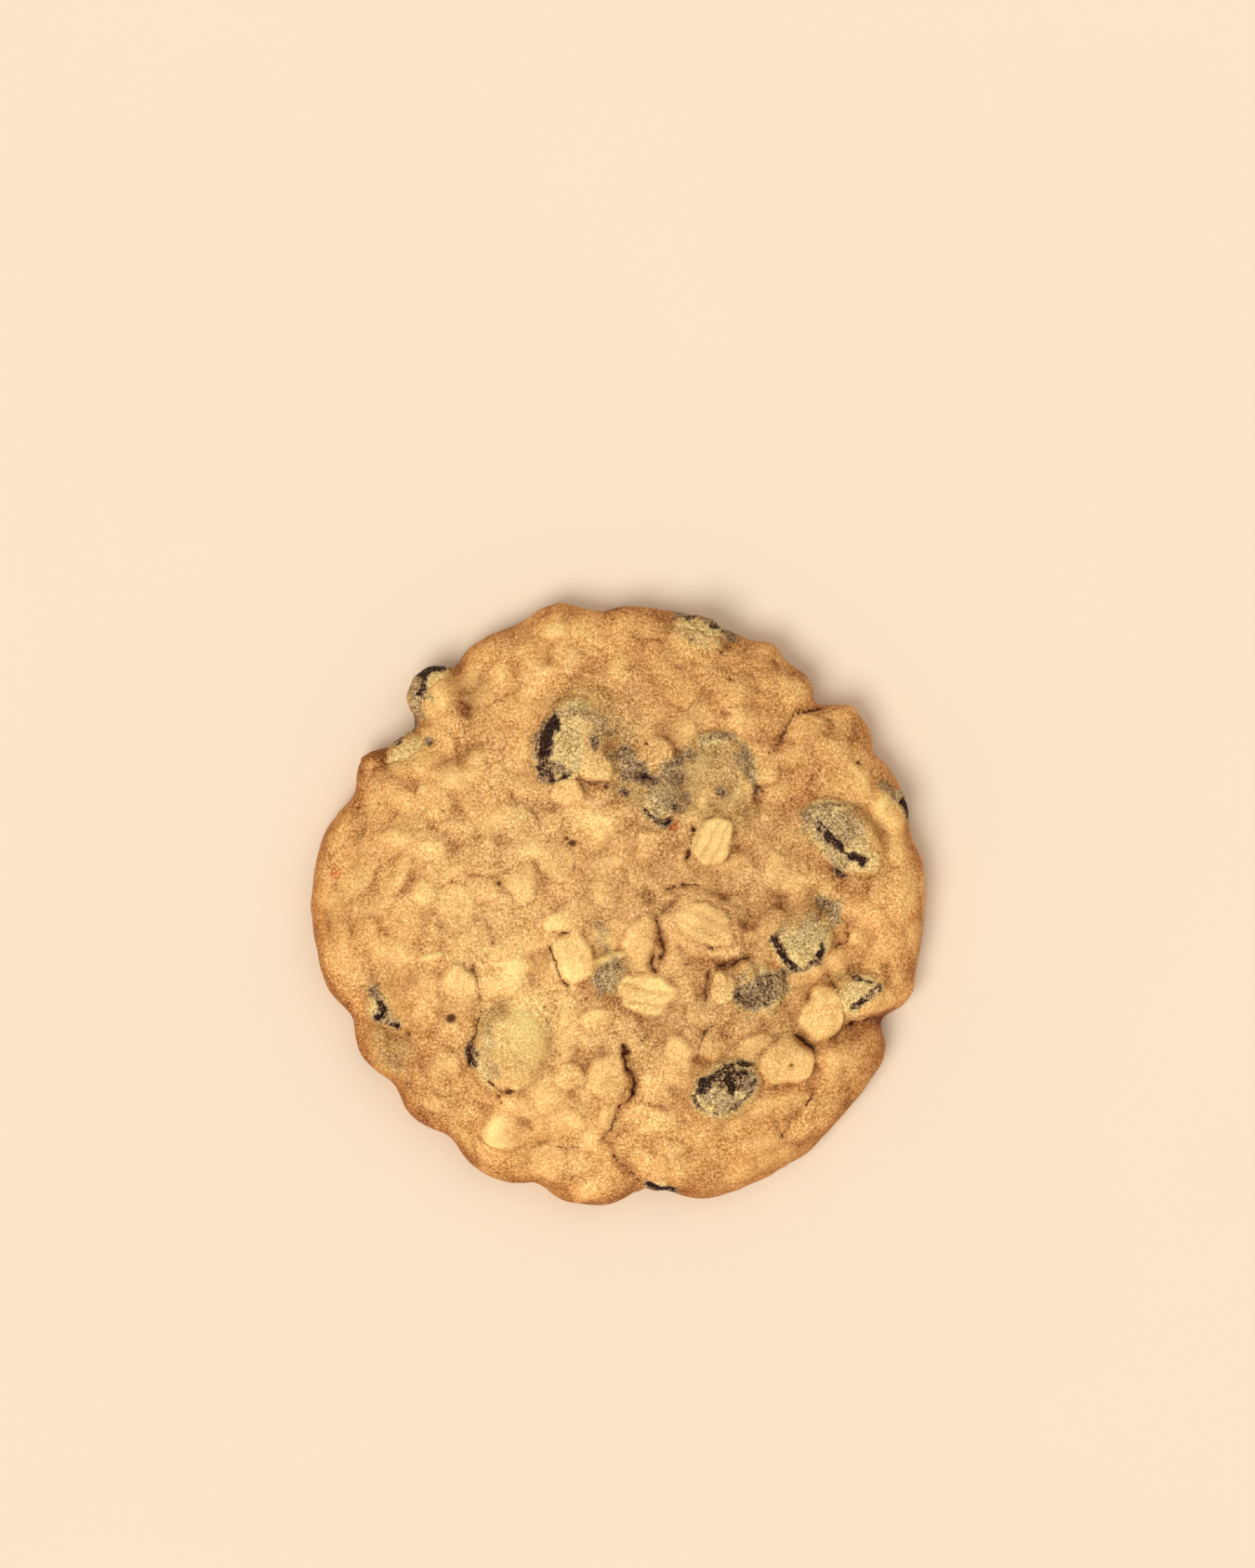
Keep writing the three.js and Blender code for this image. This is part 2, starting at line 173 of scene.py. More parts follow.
# Oat flakes and lumps that show one by one: middle, length, width, turn in degrees, rise over the crust,
# how pale they are from 0 to 1, and how softly their edge falls, from 0.1 for a bare flake to 0.8 for one
# well under.
FLAKES = [
    (-15.6, -20.4, 12.4, 10.4, 64, 0.1, 0.8, 0.3), (-23.2, 18.2, 8.5, 5, -8, 0.45, 0.7, 0.6),
    (-25.6, 25.2, 7.5, 3.8, 8, 0.35, 0.5, 0.5), (-33.4, 15.4, 7, 5.6, 20, 0.31, 0.4, 0.6),
    (-25.5, 13.6, 5, 3.6, 0, 0.21, 0.4, 0.6), (-16.8, 33.4, 4, 3.4, 0, 0.33, 0.6, 0.7),
    (-10.4, 33.6, 4.4, 3.4, 10, 0.33, 0.6, 0.7), (-25.6, 31.4, 4.4, 3.6, 0, 0.28, 0.4, 0.5),
    (-36.4, 21.2, 3, 2.2, 50, 0.35, 0.3, 0.3), (-4.4, 41, 6, 4, 20, 0.33, 0.4, 0.6),
    (0.4, 34.2, 4.6, 4.4, 0, 0.33, 0.6, 0.6), (-3.5, 20.4, 5.8, 4.8, -20, 0.8, 0.35, 0.25),
    (-7.7, 16.5, 4.8, 4.4, 0, 0.49, 0.45, 0.15), (-4, 11.3, 6.4, 6.4, 30, 0.41, 0.85, 0.5),
    (12.8, 15.4, 3.6, 3.4, 0, 0.74, 0.4, 0.4), (17.8, 15.4, 7, 3.8, 80, 0.66, 0.45, 0.35),
    (18.4, 27, 6, 4, 0, 0.37, 0.55, 0.6), (5, 30.6, 8, 4.4, 5, 0.29, 0.25, 0.8),
    (30, 22.6, 7, 4, -22, 0.37, 0.5, 0.5), (33.4, 18.4, 8.4, 5, -48, 0.41, 0.5, 0.5),
    (27, 25.8, 6.5, 4.4, 5, 0.41, 0.1, 0.3), (38.4, 13.6, 6, 4, -60, 0.25, 0.45, 0.6),
    (-33.6, 9, 7.6, 4.8, 25, 0.35, 0.55, 0.5), (-33, 4.4, 7.6, 4.2, 48, 0.28, 0.5, 0.3),
    (-27.6, 7.2, 6.4, 5, 90, 0.35, 0.55, 0.6), (-27.8, 1.8, 5, 4, 0, 0.35, 0.5, 0.5),
    (-13.8, 8.6, 8.6, 3.8, -12, 0.37, 0.7, 0.6), (-19.3, 8.3, 5.4, 2, 90, 0.29, 0.5, 0.5),
    (-40.8, 9.6, 6, 4.4, 70, 0.21, 0.3, 0.7), (-41, -5.6, 12, 4, 95, 0.21, 0.3, 0.6),
    (-38.2, -1, 5, 3.4, 80, 0.21, 0.35, 0.7), (-33.4, -8.2, 8.4, 5.6, 20, 0.35, 0.45, 0.45),
    (-27.3, -7.5, 3.8, 1.3, 15, 0.63, 1, 0.2), (-23.4, -12.2, 7.4, 6, 85, 0.49, 0.6, 0.3),
    (-16.6, -10.4, 6.8, 6, 30, 0.45, 0.85, 0.5), (-13.6, -14.6, 5.4, 4.8, 0, 0.41, 0.8, 0.5),
    (-7.4, -2.2, 7.6, 4, 8, 0.49, 0.85, 0.3), (-7, -7.6, 7.6, 6.6, 100, 0.53, 0.9, 0.2),
    (3.8, -12.8, 8.8, 6.4, -10, 0.66, 0.9, 0.15), (12.2, -3, 12.4, 9.6, -25, 0.41, 0.15, 0.2),
    (12.3, -2.7, 8.8, 5.8, -25, 0.74, 0.75, 0.14), (13.4, 9.3, 7.6, 5.8, 62, 0.53, 1, 0.12),
    (4.9, 8.2, 6.6, 5.8, 70, 0.41, 0.15, 0.35), (-0.8, 6, 3, 2.2, 90, 0.25, 0.5, 0.5),
    (2.9, -4.8, 7, 5, 75, 0.49, 0.35, 0.35), (24.4, 5.4, 11, 7.4, -28, 0.66, 0.25, 0.5),
    (22.2, 6.8, 5.4, 2.2, -30, 0.78, 0.5, 0.5), (26, 3, 6, 3.2, 10, 0.7, 0.45, 0.6),
    (28.4, 10.6, 5, 2.6, 110, 0.33, 0.3, 0.5), (39.6, 9, 11, 4, 95, 0.25, 0.45, 0.6),
    (34.6, -4.6, 3.6, 2.6, 0, 0.41, 0.4, 0.3), (32.4, -7.6, 5.4, 3.8, 0, 0.41, 0.35, 0.35),
    (38.6, -7, 6, 4, 80, 0.25, 0.2, 0.6), (27.2, -10, 5.6, 3.4, 20, 0.41, 0.4, 0.3),
    (14.8, -12, 5, 3.8, 85, 0.49, 0.35, 0.12), (19, -4.9, 3, 2.4, 80, 0.33, 0.35, 0.4),
    (29.3, -16, 8.6, 6.4, 80, 0.61, 0.5, 0.14), (28.9, -14.4, 3.6, 2, 80, 0.9, 0.85, 0.5),
    (24.4, -22.6, 8.6, 7.2, 20, 0.45, 0.55, 0.14), (8.2, -22.4, 7.6, 4.6, 85, 0.42, 0.7, 0.3),
    (13.5, -20, 5.2, 4.6, 60, 0.35, 0.25, 0.3), (-1.8, -25, 7.4, 6, 75, 0.48, 0.6, 0.25),
    (-7.3, -24.8, 4.6, 4.2, 0, 0.31, 0.45, 0.2), (-7.8, -32, 5.8, 5, 20, 0.38, 0.65, 0.4),
    (5.8, -32.6, 6.8, 5, 28, 0.42, 0.6, 0.4), (-3.4, -16.6, 5, 4, 10, 0.38, 0.65, 0.3),
    (-7.2, -16.2, 4, 3.4, 0, 0.28, 0.45, 0.4), (-16.4, -32.8, 7, 5.8, 0, 0.42, 1, 0.3),
    (-25.4, -24.4, 7, 5.4, 80, 0.42, 0.65, 0.4), (-27, -28.9, 5, 2.8, -15, 0.28, 0.5, 0.4),
    (-24.6, -18.2, 3.6, 3.4, 80, 0.28, 0.45, 0.4), (-15.4, -28.9, 5.2, 2.6, 0, 0.28, 0.4, 0.4),
    (21.6, -29.6, 6.4, 4.6, 10, 0.31, 0.45, 0.6), (20.6, -35.2, 7, 4.6, 15, 0.28, 0.4, 0.7),
    (32.4, -23.8, 8, 5.6, 70, 0.35, 0.4, 0.5), (30.4, -31, 5, 3.2, 50, 0.25, 0.25, 0.5),
    (13, -33.4, 7, 5.4, 0, 0.28, 0.35, 0.7), (38.2, -13.6, 5, 3.6, 40, 0.33, 0.25, 0.5),
    (10.4, -38.4, 6.4, 4, 0, 0.28, 0.3, 0.5), (-2.8, -41, 6.4, 4, 0, 0.31, 0.35, 0.5),
    (-9.4, -38, 5, 4, 0, 0.28, 0.3, 0.5), (3, -37.4, 4.4, 3.4, 80, 0.28, 0.3, 0.4),
    (24.6, 31, 6, 4.6, -30, 0.33, 0.15, 0.5), (18.4, 31.4, 7, 4.4, 0, 0.33, 0.35, 0.6),
    (13.4, 35, 5, 3, 0, 0.29, 0.4, 0.6), (21, 37.8, 5, 2.4, -10, 0.29, 0.3, 0.5),
    (32.5, 28.2, 4.6, 3, -25, 0.33, 0.1, 0.4), (-20.5, 37.2, 6, 4, 35, 0.29, 0.3, 0.6),
    (-12, 37.5, 6, 3.6, 0, 0.29, 0.3, 0.6), (-1.4, -7.5, 5, 1.3, 14, 0.74, 1, 0.2),
    (-15.2, -26.4, 1.6, 0.8, 20, 0.28, 1, 0.2), (41.4, 0.6, 8, 5, 85, 0.3, 0.1, 0.7),
]

# Smaller flakes that the dough buries are drawn at random: how many, and the least and most of length,
# width, rise, paleness and softness.
BURIED_FLAKES = 300
BURIED_SPANS = [(5, 9), (3.8, 6.6), (0.2, 0.6), (0, 0.7), (0.14, 0.5)]
GOLDEN_ANGLE = math.pi * (3 - math.sqrt(5))

# Small random shifts that keep edges and cracks from running smooth, and patches of more and less detail.
STRAY = 0.4
stray = np.stack([clouds(place, 1.6, 3, 5), clouds(place, 1.6, 3, 9)], axis=-1) * STRAY
patchy = clouds(place, 2, 2, 3)


def flake_form(along, across, soft, wobble, frayed):
    """Height, coverage, painted outline shadow and reach of a flake, from offsets that are 1 at its ends and
    sides.

    Its outline wavers, a soft flake sinks into the dough on one side, and a bare one has low ribs.
    """
    bearing = np.arctan2(across, along)
    waver = 0.07 * np.sin(3 * bearing + wobble) + 0.05 * np.sin(5 * bearing - wobble)
    reach = np.hypot(along, across) * (1 + waver) + 0.3 * frayed
    inside = 1 - smooth(1 - soft, 1 + 0.7 * soft, reach)
    under = along * math.cos(2.4 * wobble) + across * math.sin(2.4 * wobble)
    inside *= 1 - smooth(0.13, 0.34, soft) * 0.9 * smooth(-0.5, 0.7, under)
    ribs = (1 - soft) * 0.14 * np.sin(9 * across + wobble + 6 * frayed) * smooth(1, 0.5, reach)
    contour = bell(reach - 1.03, 0.1) * smooth(0.8, 0.1, soft)
    return inside * (0.8 + 0.2 * (1 - np.minimum(reach, 1) ** 2) + ribs), inside, contour, reach


SEED = 11
draw = np.random.default_rng(SEED)
flake_lift = np.zeros_like(x)
pale = np.zeros_like(x)
outline_shadows = np.zeros_like(x)
fibre = np.full_like(x, 0.5)
fibrous = np.zeros_like(x)
crust_area = np.interp(1, share_line[:TOP_STEPS], area_line[:TOP_STEPS]) / area_line[-1]
for i in range(BURIED_FLAKES):
    area = crust_area * (i + draw.random()) / BURIED_FLAKES
    at, up, _, _ = skin(np.array([area]), np.array([i * GOLDEN_ANGLE]))
    at, up = at[0], up[0]
    turn, lean, wobble = draw.uniform(0, 2 * math.pi, 3)
    length, width, rise, paleness, soft = (draw.uniform(*span) for span in BURIED_SPANS)
    side = np.cross(up, (math.cos(turn), math.sin(turn), 0.1))
    side /= np.linalg.norm(side)
    near = np.flatnonzero(((place - at) ** 2).sum(axis=1) < (0.85 * length) ** 2)
    offset = place[near] - at
    along, across = offset @ np.cross(side, up) * 2 / length, offset @ side * 2 / width
    lift, inside, contour, _ = flake_form(along, across, soft, wobble, stray[near, 0])
    ramp = np.clip(0.7 + 0.4 * (along * math.cos(lean) + across * math.sin(lean)), 0.1, 1.1)
    flake_lift[near] = np.maximum(flake_lift[near], rise * lift * ramp)
    pale[near] = np.maximum(pale[near] * (1 - 0.6 * inside), paleness * inside)
    outline_shadows[near] = np.maximum(outline_shadows[near] * (1 - inside), 0.8 * contour)
for fx, fy, length, width, turn, rise, paleness, soft in FLAKES:
    near = np.flatnonzero(np.hypot(x - fx, y - fy) < 0.9 * length)
    along, across = along_across(x[near] - fx, y[near] - fy, turn)
    along, across = along * 2 / length, across * 2 / width
    lift, inside, contour, reach = flake_form(along, across, soft, turn, stray[near, 0])
    fibre[near] = np.where(inside > 0.5, 0.5 + 0.25 * across * (1 + 0.25 * along**2), fibre[near])
    bare = smooth(0.5, 0.95, paleness) * smooth(0.36, 0.12, soft) * smooth(1, 0.75, reach)
    fibrous[near] = np.maximum(fibrous[near] * (1 - inside), bare)
    flake_lift[near] = flake_lift[near] * (1 - inside) + inside * 0.25 + rise * lift
    pale[near] = np.maximum(pale[near] * (1 - inside), paleness * inside)
    outline_shadows[near] = np.maximum(outline_shadows[near] * (1 - smooth(0.5, 1, inside)), contour)

# Creases between the lobes, and then fine cracks in the crust: depth, half width and path in plan.
CREASES = [
    (0.5, 1.1, [(0.7, -20.3), (2.2, -26), (-0.9, -31.3), (-1.9, -34), (1.6, -39)]),
    (1.1, 1.5, [(39, -16.6), (33.6, -18.6), (28.9, -20.6), (26.6, -19.4)]),
    (0.6, 1.3, [(29.3, -23.8), (28.6, -26.6), (26, -29.6), (24.2, -33)]),
    (0.2, 1.2, [(31, 29.4), (25.2, 27.9), (22, 22.4)]), (0.5, 1, [(3.8, 2.2), (6.1, -5.1), (5.2, -8.6)]),
    (0.15, 1.2, [(-36.6, -4.6), (-36, -10.4), (-33.4, -18.6)]),
    (0.5, 1.2, [(-22.4, 29), (-21.4, 23.6), (-26, 18.4), (-34, 16.4)]),
]
CRACKS = [
    (1.1, 0.32, [(0.4, -20.2), (0.9, -21), (0.4, -22.2), (1, -23.6), (1.8, -25), (2.2, -26.4),
                (1.9, -27.6)]),
    (0.8, 0.14, [(1.9, -27.6), (1, -28.8), (-0.2, -29.6), (-0.4, -31), (-1.2, -32.4), (-2.4, -34),
                (-2.7, -35)]),
    (0.7, 0.14, [(-1.3, -35), (-1, -36.4), (0, -38), (1.4, -39.4), (3, -40.2)]),
    (0.8, 0.16, [(5, -1.6), (5.6, -3.2), (6.1, -4.6)]), (1.1, 0.24, [(6.1, -5), (6.5, -6.2), (6, -7.6)]),
    (0.9, 0.2, [(4.8, -7), (4.6, -8.6), (5.2, -9.7)]),
    (0.9, 0.2, [(14.3, -8.9), (16, -8.7), (17.6, -7.8), (18.6, -7.5)]),
    (0.8, 0.2, [(12.7, -9.8), (12.4, -11.6), (12.3, -13.7)]),
    (0.6, 0.15, [(13.4, -17.1), (12.4, -18.7), (11.4, -20.3), (11.2, -22.6)]),
    (0.5, 0.12, [(13.6, -17.2), (15.6, -19.2)]),
    (0.5, 0.12, [(-20, -14.8), (-20.6, -16.8), (-21, -18.4), (-22, -21)]),
    (0.5, 0.2, [(22.4, 22.6), (23.6, 24), (24.4, 26), (25.2, 27.8), (27.6, 28.4), (29.6, 28.9)]),
    (0.5, 0.15, [(6.4, 2.5), (8.4, 2.9), (11.6, 3)]),
    (0.7, 0.17, [(-10.1, -6), (-9.3, -8.4), (-8.8, -10.8), (-7.4, -11.5)]),
    (0.7, 0.13, [(-21.5, -8.8), (-20.7, -11.3), (-20.2, -14)]),
    (0.5, 0.09, [(24.7, -32.9), (25, -31.6), (26.4, -30.6), (26.8, -29.6), (28.6, -28), (28.5, -27)]),
    (0.9, 0.25, [(32.4, -17.9), (34, -17.7), (36, -17), (38.6, -16.9)]),
    (0.7, 0.28, [(-22.4, -20.8), (-21.2, -23.4), (-19.4, -25.6), (-17.6, -27), (-15.4, -27.2)]),
    (0.6, 0.14, [(-18.1, -26.9), (-17.3, -28.8)]), (1.4, 0.34, [(25.9, -19.2), (27, -19.9), (28.2, -21)]),
    (1, 0.22, [(-10, 17.9), (-9.2, 18.5), (-7, 18.9)]),
    (0.4, 0.12, [(-7, 18.9), (-6.2, 18.1), (-3.4, 17.6)]),
    (0.7, 0.22, [(10.3, 11.2), (10.8, 10.4), (9.8, 8), (9.7, 6.8)]),
    (0.6, 0.16, [(-9.9, -4), (-7.2, -3.9)]), (0.6, 0.18, [(-9.8, -35), (-8, -35.5), (-6.3, -35.6)]),
    (0.6, 0.18, [(30.5, 27.4), (31.3, 26.4)]),
    (0.6, 0.16, [(30.2, -10.2), (31.7, -12.8), (32.5, -15), (32.3, -17.6)]),
    (0.5, 0.16, [(28.4, -21.4), (28.6, -23.8), (27.6, -25.8)]),
    (0.5, 0.14, [(22.4, -18.9), (24, -18.5), (25.7, -18.9)]), (0.6, 0.16, [(3, -19.8), (4, -18.8)]),
    (0.6, 0.16, [(33.4, -4), (33, -5.3), (31.4, -6.3)]), (0.6, 0.14, [(22.6, -31.2), (23.8, -34.4)]),
]

# Folds between lumps, where the crust dips a little and painted shade darkens it: depth, half width and
# path in plan.
FOLDS = [
    (0.6, 0.8, [(-26, 20.6), (-24, 22), (-21.5, 23), (-19, 23.5)]),
    (0.7, 0.8, [(-34.6, 21.4), (-33.6, 19.2), (-32, 18)]), (1, 0.9, [(-22.4, 28.8), (-22.2, 27.8)]),
    (0.5, 0.6, [(-20.4, 33.6), (-20.8, 32.6)]), (0.5, 0.4, [(-15, 32.2), (-14.4, 32.5)]),
    (0.4, 0.4, [(16.2, 5), (16, 4), (16.4, 2.4)]), (0.5, 0.6, [(-7.4, 43), (-7.8, 41.6)]),
    (0.5, 0.5, [(2.2, 40.2), (3.6, 38.4)]), (0.5, 0.6, [(7.8, 42), (6.8, 40.4)]),
    (0.6, 0.4, [(-3.1, 37.6), (-2.3, 37.3)]), (0.4, 0.5, [(16, 32.8), (19, 32), (23.4, 30.6)]),
    (0.6, 0.8, [(16.4, 38.6), (18.6, 36.8), (22, 36.3), (23.6, 34.4), (26.6, 33.4)]),
    (0.6, 0.8, [(38, 20.6), (39, 18.4)]), (0.6, 0.6, [(33.8, 26.8), (34.6, 24.6)]),
    (0.5, 0.5, [(-38, 7.2), (-36.2, 6.2)]), (0.7, 0.6, [(-30.3, 4), (-31, 2.2), (-32.8, 1.2)]),
    (0.6, 0.6, [(-34.8, 11.6), (-34.2, 11.2)]),
    (0.4, 0.8, [(-31.6, 11.2), (-28, 10), (-24.5, 9.6), (-23.6, 7.4)]),
    (0.5, 0.5, [(-17.8, 6.4), (-17.2, 5.8)]),
    (0.5, 0.6, [(-26.2, -3), (-26, -5), (-25, -6.7), (-27, -8.2), (-29.5, -8.7)]),
    (0.5, 0.6, [(-39.8, -1.8), (-38.6, -4)]), (0.5, 0.8, [(8, 2.4), (11, 2.7), (14.5, 1.4), (17.4, -1)]),
    (0.6, 0.8, [(12, -14.6), (14, -15), (13.2, -16.8)]),
    (0.5, 0.4, [(-0.4, -13), (0.5, -15), (3, -16.2), (6.5, -16.3), (8.2, -14.6), (8.8, -12.6)]),
    (0.5, 0.3, [(11.4, 13.2), (14, 13.7), (16.5, 12.8)]),
    (0.5, 0.35, [(17, 10.8), (16.6, 8.2), (15.6, 6.4)]),
    (0.5, 0.6, [(1.6, 9), (1.6, 6), (3, 4.4), (5, 4.8)]),
    (0.5, 0.6, [(20, 9.8), (22.4, 10), (24.6, 8.4), (26.6, 6.8)]), (0.6, 0.35, [(23, 6.6), (24.4, 6)]),
    (0.4, 0.35, [(35.4, -5.8), (35.4, -8.4), (34.6, -9.8)]), (0.6, 0.4, [(31.6, -19.8), (32.2, -20.9)]),
    (0.4, 0.4, [(27.4, -26.2), (24, -26.8), (21.2, -26.6)]),
    (0.5, 0.5, [(-20, -30.4), (-17, -30.1), (-14.4, -31), (-12.9, -32.6)]),
    (0.5, 0.4, [(-27.8, -26.9), (-25.5, -27.8), (-22, -27.5)]),
    (0.5, 0.6, [(-25.4, -29.3), (-21.5, -28.7), (-18, -29.5)]),
    (0.6, 0.8, [(-31, -26.4), (-29, -28.5), (-28, -30.6)]),
    (0.5, 0.6, [(-12, -23.2), (-10.8, -22.4), (-10.3, -20.6)]),
    (0.4, 0.7, [(-15, -26.8), (-12.5, -25.8), (-10.6, -23), (-10.4, -19)]),
    (0.5, 0.6, [(4, -18.2), (5, -17.3), (8, -16.8)]), (0.5, 0.25, [(6.8, -26.8), (9.8, -27)]),
    (0.4, 0.5, [(1.5, -35.9), (6, -36.5), (10, -36.3)]), (0.4, 0.7, [(-10, -39.4), (-7, -39), (-4, -39.2)]),
    (0.7, 0.7, [(1.6, -41), (4, -40.1)]), (0.5, 0.8, [(28.4, -34), (26, -35.6)]),
    (0.6, 0.6, [(31.6, -28.5), (33.4, -29.2)]),
    (0.4, 0.6, [(-37.7, 0), (-37.5, -4), (-36.8, -8), (-35.8, -12.6)]),
    (0.4, 0.35, [(-9, -17), (-8.8, -15), (-9.8, -13.6)]), (0.4, 0.4, [(-5.2, -21), (-2, -20.9)]),
    (0.4, 0.4, [(-5.2, -23), (-4.8, -26)]), (0.4, 0.5, [(-2.6, -36.4), (-2.9, -37.8)]),
    (0.5, 0.7, [(-9.8, 28.8), (-7, 31.4), (-4, 31.9), (-1.9, 30.6), (-0.6, 28), (0, 25.6)]),
    (0.6, 0.5, [(11.8, 23.8), (14, 25.1), (16, 25), (17.8, 23.5), (19.1, 21.2), (19.8, 18.6), (20, 15.4),
                (20, 12.6)]),
    (0.5, 0.5, [(27, 13.6), (29, 15), (32.4, 15), (35.6, 13), (38, 10.2), (38.4, 7)]),
    (0.5, 0.5, [(-3.6, 13.6), (-1.6, 9.6), (-3, 7.4), (-5.6, 7.4)]),
    (0.5, 0.5, [(-37.6, 12.4), (-38.4, 9.2), (-37.6, 7)]),
]

# How far a crack's lip slopes, how far the painted shade of its dark line fades out, and how far painted
# shade spreads on the crust beside it.
CRACK_LIP = 0.24
SPLIT_REACH = 0.8
CRACK_SHADE = 0.7


def distance_to(path, px, py):
    """Distance in plan from each point to a line of points."""
    nearest = np.full(np.shape(px), np.inf)
    for (ax, ay), (bx, by) in zip(path, path[1:]):
        run_x, run_y = bx - ax, by - ay
        t = np.clip(((px - ax) * run_x + (py - ay) * run_y) / (run_x**2 + run_y**2), 0, 1)
        nearest = np.minimum(nearest, np.hypot(px - ax - t * run_x, py - ay - t * run_y))
    return nearest


crease = np.zeros_like(x)
crack_line_shade = np.zeros_like(x)
fold = np.zeros_like(x)
for depth, half_width, path in CREASES:
    crease = np.maximum(crease, depth * bell(distance_to(path, x, y), half_width))
for depth, half_width, path in FOLDS:
    away = distance_to(path, x + stray[:, 0], y + stray[:, 1])
    fold = np.maximum(fold, depth * bell(away, half_width) * (0.8 + 0.5 * patchy))
for depth, half_width, path in CRACKS:
    away = distance_to(path, x + stray[:, 0], y + stray[:, 1])
    open_width = half_width * (0.8 + 0.6 * patchy) - 0.1
    near = 1 - smooth(open_width, open_width + CRACK_LIP, away)
    crease += 0.8 * depth * near
    crack_line_shade = np.maximum(crack_line_shade, 1 - (away - open_width) / SPLIT_REACH)
    fold = np.maximum(fold, 0.5 * depth * bell(away, CRACK_SHADE))
# Painted shade also falls along the foot of each flake's outline.
fold = np.maximum(fold, 0.5 * outline_shadows * (0.7 + 0.8 * patchy)) * topside

# Pinholes where steam left the crust, and small holes: middle and radius. More are drawn at random.
PINHOLES = [
    (3.8, 23.5, 0.6), (-2.1, 17.2, 0.55), (21.6, 22.4, 0.4), (18.3, -2.8, 0.4), (10.5, 38.9, 0.5),
    (-1.2, 41.7, 0.35), (30.8, 27, 0.35), (-7.7, 9.7, 0.65), (-6.8, 9, 1), (-24.6, -16.4, 1.2),
    (-17.6, 3.2, 0.5), (9.6, -8.6, 0.4), (16.1, 33.1, 0.5), (15.1, 37.3, 0.4), (20.9, 37.5, 0.35),
    (34.8, 20.6, 0.5), (-4.8, -13.6, 0.45), (-25.5, 13.7, 0.4), (-24.3, 3.4, 0.35), (40.2, -2.8, 0.35),
    (-27.6, 23.4, 0.45), (10.7, 10.8, 0.4), (9.7, 7, 0.4), (16.9, 10.7, 0.35), (17.1, 8.4, 0.4),
    (-38.7, 14.4, 0.3), (13, -6.1, 0.35), (20.7, 16.6, 0.35), (24.8, -23.2, 0.5), (9.2, 3, 0.7),
    (-16.6, 11.2, 0.3), (-18.5, -5.4, 0.3), (-17, -0.6, 0.3), (-29, -6.6, 0.3), (-31, -18.8, 0.45),
    (15, 16.3, 0.5), (-0.3, 10.4, 0.3), (-10.9, -14.8, 0.3), (0.6, 16.3, 0.4), (4.2, -28.9, 0.35),
    (-6.4, 1.6, 0.3), (24.8, 15.4, 0.3),
]
RANDOM_PINHOLES = 130
PINHOLE_RADIUS = (0.2, 0.4)
PINHOLE_DEPTH = (0.2, 0.7)
pinhole = np.zeros_like(x)
for px, py, radius in PINHOLES:
    away = np.hypot((x - px) + 0.7 * stray[:, 0], (y - py) * 1.3 + 0.7 * stray[:, 1])
    pinhole = np.maximum(pinhole, 1 - smooth(radius * 0.4, radius * 1.15, away))
pinhole *= topside
for i in range(RANDOM_PINHOLES):
    at, _, _, _ = skin(np.array([draw.random()]), np.array([i * GOLDEN_ANGLE]))
    radius = draw.uniform(*PINHOLE_RADIUS)
    away = np.sqrt(((place - at[0]) ** 2).sum(axis=1))
    hole = draw.uniform(*PINHOLE_DEPTH) * (1 - smooth(radius * 0.5, radius * 1.2, away))
    pinhole = np.maximum(pinhole, hole)

# The raisins that the dough holds: length, width, height, turn in degrees, depth of the wrinkles, and the
# sheet of dough that drapes over one side: direction in degrees and how far from the middle it starts.
RAISINS = {
    "raisin_ear": (13.4, 10.6, 7.4, 76, 0.5, -10, 0.25),
    "raisin_wide": (12, 9.8, 7, -60, 0.35, 170, -0.72),
    "raisin_bridge": (7.6, 6, 5.4, 60, 0.3, 60, 0.1),
    "raisin_slotted": (14.4, 9.2, 6.8, -45, 0.5, 30, 0.4),
    "raisin_folded": (11, 9.4, 6.8, 40, 0.5, 110, 0.3),
    "raisin_sunken": (8.4, 7, 5.6, 75, 0.35, 210, 0),
    "raisin_hooked": (8.4, 6.6, 5.8, 40, 0.45, -20, 0.3),
    "raisin_bare": (11.6, 9.2, 7, 28, 0.6, -60, 0.75),
    "raisin_small": (6.6, 5.6, 5, 42, 0.3, 80, -0.2),
    "raisin_left": (6.6, 4.8, 5, -50, 0.4, -60, 0.1),
    "raisin_cloaked": (13, 10.8, 7.2, 64, 0.25, 40, -0.75),
    "raisin_corner": (8.4, 6.6, 6.2, 62, 0.4, -60, 0.2),
    "raisin_shelf": (8.6, 6.8, 6, 30, 0.35, -40, -0.1),
    "raisin_top_edge": (9, 6, 6, -18, 0.3, -100, -0.3),
    "raisin_right_edge": (6.8, 5, 5, -71, 0.4, 190, 0),
    "raisin_low_edge": (7.6, 5.6, 5.2, 8, 0.4, 90, 0),
}

# How high the dough swells over a raisin, and how far out.
SWELL_RISE = 0.9
SWELL_REACH = 1.25


def middle_of(name):
    """Middle of a raisin's pocket."""
    low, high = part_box(name)
    return np.array((low + high) / 2) / MM


def over_raisin(name, px, py):
    """Reach from a raisin's middle in plan, 1 at its outline, and how far points lie on its draped side."""
    length, width, _, turn, _, drape, start = RAISINS[name]
    middle = middle_of(name)
    dx, dy = px - middle[0], py - middle[1]
    along, across = along_across(dx, dy, turn)
    reach = np.hypot(along * 2 / length, across * 2 / width)
    side = along_across(dx, dy, drape)[0] / np.maximum(np.hypot(dx, dy), 0.01) * reach
    return reach, side - start


def turning(degrees):
    """A matrix that turns points about the vertical."""
    c, s = math.cos(math.radians(degrees)), math.sin(math.radians(degrees))
    return np.array([[c, s, 0], [-s, c, 0], [0, 0, 1]])


